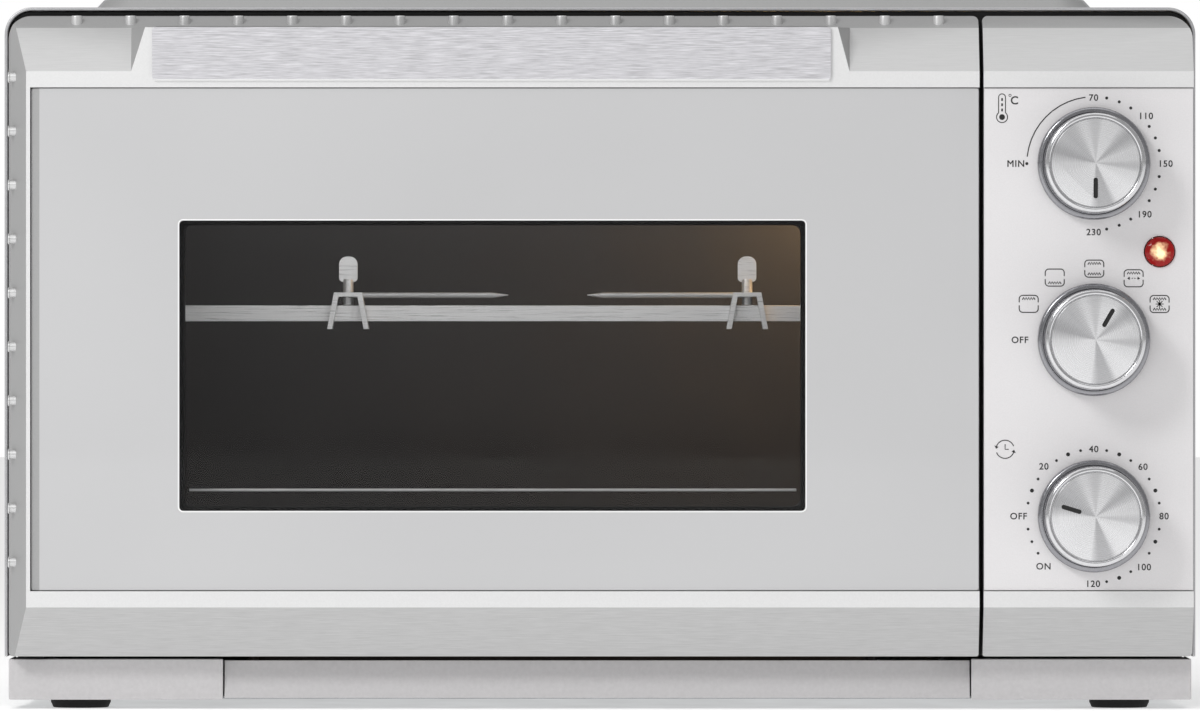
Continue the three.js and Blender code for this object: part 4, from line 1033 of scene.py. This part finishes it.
def function_icon(centre, turn, radius, upper, lower, sign, y):
    """A rounded frame, open at the middle of its sides, with heater lines and a sign inside."""
    x, z = on_dial(centre, radius * MM, turn)
    half, tall, corner, gap = 3.45 * MM, 3.1 * MM, 1.3 * MM, 0.55 * MM
    line = 0.36 * MM
    top = [(x - half, z + gap), *arc((x - half + corner, z + tall - corner), corner, 180, 90, 8),
           *arc((x + half - corner, z + tall - corner), corner, 90, 0, 8), (x + half, z + gap)]
    bottom = [(px, 2 * z - pz) for px, pz in top]
    marks = [stroke(top, line, y), stroke(bottom, line, y)]
    marks += [zigzag(x, z + 1.9 * MM, 2.3 * MM, y)] if upper else []
    marks += [zigzag(x, z - 1.9 * MM, 2.3 * MM, y)] if lower else []
    if sign == "arrows":
        for side in (-1, 1):
            tip = x + side * 2.2 * MM
            marks.append(stroke([(tip, z), (tip - side * 0.9 * MM, z)], 0.3 * MM, y))
            marks.append(stroke([(x + side * 0.2 * MM, z), (x + side * 0.7 * MM, z)], 0.3 * MM, y))
            head = [(tip + side * 0.1 * MM, z), (tip - side * 0.75 * MM, z + 0.6 * MM),
                    (tip - side * 0.75 * MM, z - 0.6 * MM)]
            marks.append(extruded(head, "xz", y - sizes().print_lift, y))
    if sign == "fan":
        for k in range(4):
            a = math.radians(45 * k)
            reach = Vector((math.cos(a), math.sin(a))) * 1.45 * MM
            marks.append(stroke([(x - reach.x, z - reach.y), (x + reach.x, z + reach.y)], 0.3 * MM, y))
        marks.append(dot(x, z, 0.55 * MM, y))
    return marks


def thermometer(x, z, y):
    """A bulb, a tube with three dashes, and the letter of the scale."""
    line, half, bulb, top = 0.32 * MM, 1.25 * MM, 2.0 * MM, z + 7.2 * MM
    join = math.degrees(math.asin(half / bulb))
    outline = [*arc((x, z), bulb, 90 + join, 450 - join, 28), *arc((x, top), half, 0, 180, 10)]
    marks = [stroke([*outline, outline[0]], line, y), dot(x, z, 1.05 * MM, y)]
    for k in range(3):
        middle = z + (2.6 + 1.9 * k) * MM
        marks.append(stroke([(x, middle - 0.5 * MM), (x, middle + 0.5 * MM)], 0.6 * MM, y))
    marks.append(lettering("C", 3.0 * MM, x + 4.5 * MM, z + 6.1 * MM, y))
    ring = arc((x + 2.9 * MM, z + 7.9 * MM), 0.42 * MM, 0, 360, 14)
    return marks + [stroke(ring, 0.2 * MM, y)]


def clock(x, z, y):
    """Two arcs with arrowheads round a pair of clock hands."""
    radius, line = 3.3 * MM, 0.34 * MM
    marks = [stroke([(x, z + 1.9 * MM), (x, z), (x + 1.3 * MM, z)], line, y)]
    for start in (20, 200):
        path = arc((x, z), radius, start, start + 140, 20)
        marks.append(stroke(path, line, y))
        end = math.radians(start + 140)
        tip = (x + radius * math.cos(end + 0.3), z + radius * math.sin(end + 0.3))
        sides = (radius - 0.8 * MM, radius + 0.8 * MM)
        head = [tip] + [(x + r * math.cos(end), z + r * math.sin(end)) for r in sides]
        marks.append(extruded(head, "xz", y - sizes().print_lift, y))
    return marks


class OVEN_OT_print(bpy.types.Operator):
    """Screen-printed dial marks and icons on the control plate"""

    bl_idname = "oven.print"
    bl_label = "Print"

    def execute(self, context):
        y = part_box("control_plate")[0].y
        heat, mode, time = (knob_centre(name) for name in CONTROLS)
        tall = 2.4 * MM
        scale = [("MIN", -90, 28.3), ("70", 0, 24.0), ("110", 48, 25.9), ("150", 90, 26.4),
                 ("190", 134.5, 26.3), ("230", 180, 24.9)]
        marks = dial_marks(heat, scale, three_between(0, 45, 4) + [(-90, 0.55)], tall, y)
        sweep = [on_dial(heat, sizes().dial_radius, -84 + 7.7 * k) for k in range(11)]
        marks.append(stroke(sweep, 0.4 * MM, y))
        marks += thermometer(heat.x - 33.3 * MM, heat.z + 16.9 * MM, y)
        marks.append(lettering("OFF", tall, *on_dial(mode, 26.8 * MM, -90), y))
        icons = [(-61, 27.0, True, False, ""), (-32, 26.7, False, True, ""), (0.5, 25.9, True, True, ""),
                 (33, 26.7, True, False, "arrows"), (61.5, 27.3, True, True, "fan")]
        for turn, radius, upper, lower, sign in icons:
            marks += function_icon(mode, turn, radius, upper, lower, sign, y)
        timer = [("OFF", -90, 27.3), ("20", -45, 25.6), ("40", 0, 24.4), ("60", 45, 25.4), ("80", 90, 25.6),
                 ("100", 135, 26.2), ("120", 180, 24.6), ("ON", -135, 25.8)]
        dots = [(t, 0.72 if i % 3 == 1 else 0.5) for i, (t, _) in enumerate(three_between(-90, 45, 6))]
        marks += dial_marks(time, timer, dots + three_between(-135, 45, 1, 0.5), tall, y)
        marks += clock(time.x - 32.2 * MM, time.z + 24.3 * MM, y)
        piece("dial_print", joined(marks), "ink", "housing")
        return {"FINISHED"}


# ---- housing ----
ROOF_RISE = 3.2 * MM  # door's top to the roof


def frustum(low_edges, high_edges, radii, heights):
    """A solid between two rounded rectangles, one above the other."""
    bm = bmesh.new()
    loops = []
    for edges, radius, height in zip((low_edges, high_edges), radii, heights):
        ring = [bm.verts.new((x, y, height)) for x, y in rounded(*edges, radius, 10)]
        loops.append([bm.edges.new(pair) for pair in zip(ring, ring[1:] + ring[:1])])
        bm.faces.new(ring)
    bmesh.ops.bridge_loops(bm, edges=loops[0] + loops[1])
    bmesh.ops.recalc_face_normals(bm, faces=bm.faces)
    return bm


def plateau(drop):
    """The pressed rise on the roof; drop lowers it, to hollow the sheet."""
    low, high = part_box("outer_housing")
    left, right, front, rear, slope = 31 * MM, 35.5 * MM, 22 * MM, 18 * MM, 4 * MM
    edges = (low.x + left, high.x - right, low.y + front, high.y - rear)
    inner = (edges[0] + slope, edges[1] - slope, edges[2] + slope, edges[3] - slope)
    roof = DOOR_HIGH.z + ROOF_RISE
    return frustum(edges, inner, (14 * MM, 12 * MM), (roof - sizes().sheet / 2 - drop, high.z - drop))


def housing_shell():
    """One bent sheet over the sides and the roof, with the pressed rise and the vents by the controls."""
    s = sizes()
    low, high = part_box("outer_housing")
    roof, corner = DOOR_HIGH.z + ROOF_RISE, 10 * MM
    outline = rounded(low.x, high.x, low.z, roof, (0, 0, corner, corner), 16)
    within = rounded(low.x + s.sheet, high.x - s.sheet, low.z - MM, roof - s.sheet,
                     (0, 0, corner - s.sheet, corner - s.sheet), 16)
    shell = combined(extruded(outline, "xz", low.y, high.y), [plateau(0)], "UNION")
    cuts = [extruded(within, "xz", low.y - MM, high.y + MM), plateau(s.sheet)]
    lowest, pitch, half, tall, end = 124.2 * MM, 9 * MM, 30 * MM, 3.5 * MM, 1.7 * MM
    for row in range(8):
        z = lowest + pitch * row
        cuts.append(extruded(rounded(-half, half, z, z + tall, end, 6), "yz", high.x - 4 * MM, high.x + MM))
    return cut(shell, cuts)


class OVEN_OT_housing(bpy.types.Operator):
    """Lacquered shell with its pressed roof and the vents beside the controls"""

    bl_idname = "oven.housing"
    bl_label = "Housing"

    def execute(self, context):
        roof = DOOR_HIGH.z + 3 * MM
        # The front-facing slope of the pressed rise on the roof gets the darker rim grey: painted shade.
        piece("housing_shell", housing_shell(), ["lacquer", "rim"], "housing",
              ["outer_housing"], bevel=0.5 * MM, smooth=35,
              paint=lambda f: 1 if f.calc_center_median().z > roof and f.normal.y < -0.3 else 0)
        return {"FINISHED"}


# Pieces that keep the frame's shape and get rounded edges: node, finish, body, slot, rounding in millimetres.
SHEET_METAL = [
    ("rear_panel", "zinc", "housing", "zinc_sheet", 0),
    ("base_pan", "zinc", "housing", "zinc_sheet", 0.4),
    ("front_frame", "black", "housing", "dark_enamel", 0.3),
    ("cavity_wall_left", "enamel", "housing", "dark_enamel", 0.3),
    ("cavity_wall_right", "enamel", "housing", "dark_enamel", 0.3),
    ("cavity_ceiling", "enamel", "housing", "dark_enamel", 0.3),
    ("cavity_back", "enamel", "housing", "dark_enamel", 0.3),
    ("cavity_floor", "enamel", "housing", "dark_enamel", 0.3),
    ("fan_grille", "steel", "housing", "zinc_sheet", 0.2),
    ("fan_wheel", "zinc", "fan", "zinc_sheet", 0.15),
    ("crumb_tray", "enamel", "crumb_tray", "dark_enamel", 0.4),
]
MOULDED = [
    ("plinth_trim_left", "plinth", "housing", "door_moulding", 0.5),
    ("plinth_trim_right", "plinth", "housing", "door_moulding", 0.5),
    ("cord_gland", "black", "housing", "black_plastic", 0.6),
    ("rear_spacer_left", "black", "housing", "black_plastic", 0.8),
    ("rear_spacer_right", "black", "housing", "black_plastic", 0.8),
    ("fan_motor", "zinc", "housing", "zinc_sheet", 0.5),
    ("spit_motor", "zinc", "housing", "zinc_sheet", 0.5),
    ("thermostat", "plastic", "housing", "switch_plastic", 0.5),
    ("function_switch", "plastic", "housing", "switch_plastic", 0.5),
    ("timer_unit", "plastic", "housing", "switch_plastic", 0.5),
    ("lamp_holder", "plastic", "housing", "switch_plastic", 0.3),
    ("spit_support", "steel", "housing", "spit_steel", 0.25),
    ("fork_left", "steel", "fork_left", "spit_steel", 0.3),
    ("fork_right", "steel", "fork_right", "spit_steel", 0.3),
    ("wing_screw_left", "steel", "wing_screw_left", "spit_steel", 0.25),
    ("wing_screw_right", "steel", "wing_screw_right", "spit_steel", 0.25),
    ("spit_drive_socket", "steel", "spit", "spit_steel", 0.3),
    ("spit_rod", "steel", "spit", "spit_steel", 0.35),
]


def tray_front():
    """Front strip of the crumb tray: its face leans back towards the top, under the door."""
    low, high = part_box("crumb_tray_front")
    lean, sheet = 2.6 * MM, 1.0 * MM
    section = [(low.y, low.z), (low.y + sheet, low.z), (low.y + lean + sheet, high.z - sheet),
               (high.y, high.z - sheet), (high.y, high.z), (low.y + lean, high.z)]
    return extruded(section, "yz", low.x, high.x)


def keep_shapes(rows):
    """Makes each row's piece from the frame's own shape."""
    for node_name, finish_name, body, slot, rounding in rows:
        piece(f"{node_name}_finished", from_node(node_name), finish_name, body, [node_name],
              bevel=rounding * MM)


class OVEN_OT_sheet_metal(bpy.types.Operator):
    """Cavity, panels and tray, with the rounded edges of pressed sheet"""

    bl_idname = "oven.sheet_metal"
    bl_label = "Sheet metal"

    def execute(self, context):
        keep_shapes(SHEET_METAL)
        return {"FINISHED"}


class OVEN_OT_fittings(bpy.types.Operator):
    """Trims, motors, switches, spit, forks and screws"""

    bl_idname = "oven.fittings"
    bl_label = "Fittings"

    def execute(self, context):
        keep_shapes(MOULDED)
        piece("crumb_tray_front_strip", tray_front(), "plinth", "crumb_tray",
              ["crumb_tray_front"], bevel=0.3 * MM)
        return {"FINISHED"}


class OVEN_OT_feet(bpy.types.Operator):
    """Round rubber feet, a little narrower where they stand"""

    bl_idname = "oven.feet"
    bl_label = "Feet"

    def execute(self, context):
        for place in ("front_left", "front_right", "rear_left", "rear_right"):
            low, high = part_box(f"foot_{place}")
            radius, soft, taper, tall = (high.x - low.x) / 2, 0.8 * MM, 0.6 * MM, high.z
            flat = radius - soft - taper
            profile = [(0, 0), (flat, 0), *arc((flat, soft), soft, -90, 0, 5), (radius, tall * 0.6),
                       (radius, tall), (0, tall)]
            centre = ((low.x + high.x) / 2, (low.y + high.y) / 2, 0)
            piece(f"rubber_foot_{place}", turned(profile, centre, "z", 64), "rubber", "housing",
                  [f"foot_{place}"])
        return {"FINISHED"}


class OVEN_OT_heaters(bpy.types.Operator):
    """Sheathed heating rods and the thermostat's probe, as they come from the frame"""

    bl_idname = "oven.heaters"
    bl_label = "Heaters"

    def execute(self, context):
        for row in ("upper", "lower"):
            for side in ("front", "rear"):
                node_name = f"heater_{row}_{side}"
                piece(f"{node_name}_rod", from_node(node_name), "sheath", "housing",
                      [node_name], smooth=50)
        piece("thermostat_bulb", from_node("thermostat_probe"), "steel", "housing",
              ["thermostat_probe"], smooth=50)
        return {"FINISHED"}


# ---- stage ----
def area_light(name, place, target, size, power, tone):
    """A rectangular light at a place, turned to a target; size is in metres and power in watts."""
    light = bpy.data.lights.new(name, "AREA")
    light.shape, light.size, light.size_y, light.energy = "RECTANGLE", size[0], size[1], power
    light.color = linear(tone)[:3]
    made = bpy.data.objects.new(name, light)
    made.location = place
    made.rotation_euler = (Vector(target) - Vector(place)).to_track_quat("-Z", "Y").to_euler()
    bpy.context.scene.collection.objects.link(made)
    return made


def studio_floor():
    """A wide pale floor."""
    bm = bmesh.new()
    bmesh.ops.create_grid(bm, x_segments=1, y_segments=1, size=12)
    mesh = bpy.data.meshes.new("studio_floor")
    bm.to_mesh(mesh)
    bm.free()
    paper = even("white backdrop paper", "#f6f6f6", 0.9, 0.0, 3, 0.01, 0.004, emission_strength=0.4)
    mesh.materials.append(paper)
    made = bpy.data.objects.new("studio_floor", mesh)
    bpy.context.scene.collection.objects.link(made)
    return made


def studio_world(strength):
    """Even white light all round, with plain white beyond the floor."""
    world = bpy.data.worlds.new("studio")
    world.use_nodes = True
    tree = world.node_tree
    back = tree.nodes["Background"]
    back.inputs["Color"].default_value = linear("#ffffff")
    seen = node(tree, "LightPath").outputs["Is Camera Ray"]
    node(tree, "MapRange", {"To Min": strength, "To Max": 1.0}, {"Value": seen}, (back, "Strength"))
    return world


class OVEN_OT_stage(bpy.types.Operator):
    """Pale floor, soft studio light and the camera straight in front"""

    bl_idname = "oven.stage"
    bl_label = "Stage"

    def execute(self, context):
        scene = context.scene
        studio_floor()
        scene.world = studio_world(0.42)
        area_light("key from above", (-1.1, -1.5, 1.3), (0, -0.1, 0.12), (0.6, 0.6), 15, "#ffffff")
        area_light("top softbox", (0.0, -0.5, 1.9), (0, -0.05, 0.12), (2.0, 1.4), 7, "#ffffff")
        area_light("cavity glow", (0.095, 0.02, 0.222), (0.05, 0.15, 0.13), (0.02, 0.08), 0.3, "#ffcf90")
        area_light("cavity fill", (-0.04, -0.125, 0.205), (-0.04, 0.03, 0.12), (0.26, 0.012), 0.12, "#ffffff")
        distance, height = 4.5, 0.1261
        camera = bpy.data.cameras.new("camera")
        camera.sensor_width, camera.lens = 36, 371.3  # a long lens, as for a catalogue picture
        made = bpy.data.objects.new("camera", camera)
        made.location = (0, FRONT - distance, height)
        made.rotation_euler = (math.radians(90), 0, 0)
        scene.collection.objects.link(made)
        scene.camera = made
        scene.view_settings.view_transform = "Standard"
        return {"FINISHED"}


class OVEN_PT_pieces(bpy.types.Panel):
    """Buttons for the oven's pieces"""

    bl_idname = "OVEN_PT_pieces"
    bl_label = "Rotisserie oven"
    bl_space_type = "VIEW_3D"
    bl_region_type = "UI"
    bl_category = "Oven"

    def draw(self, context):
        for each in OPERATORS:
            self.layout.operator(each.bl_idname)
        for group in (context.scene.oven_sizes, context.scene.oven_colours):
            for key in group.__annotations__:
                self.layout.prop(group, key)


OPERATORS = (
    OVEN_OT_housing, OVEN_OT_sheet_metal, OVEN_OT_fittings, OVEN_OT_feet, OVEN_OT_heaters, OVEN_OT_door_frame,
    OVEN_OT_handle, OVEN_OT_door_glass, OVEN_OT_door_inside, OVEN_OT_fascia, OVEN_OT_knobs, OVEN_OT_lamp,
    OVEN_OT_print, OVEN_OT_stage,
)
CLASSES = (OvenSizes, OvenColours, *OPERATORS, OVEN_PT_pieces)


def register():
    for each in CLASSES:
        bpy.utils.register_class(each)
    bpy.types.Scene.oven_sizes = PointerProperty(type=OvenSizes)
    bpy.types.Scene.oven_colours = PointerProperty(type=OvenColours)


def unregister():
    del bpy.types.Scene.oven_colours
    del bpy.types.Scene.oven_sizes
    for each in reversed(CLASSES):
        bpy.utils.unregister_class(each)


def main():
    register()
    build_materials()
    for each in OPERATORS:
        area, name = each.bl_idname.split(".")
        getattr(getattr(bpy.ops, area), name)()


if __name__ == "__main__":
    main()
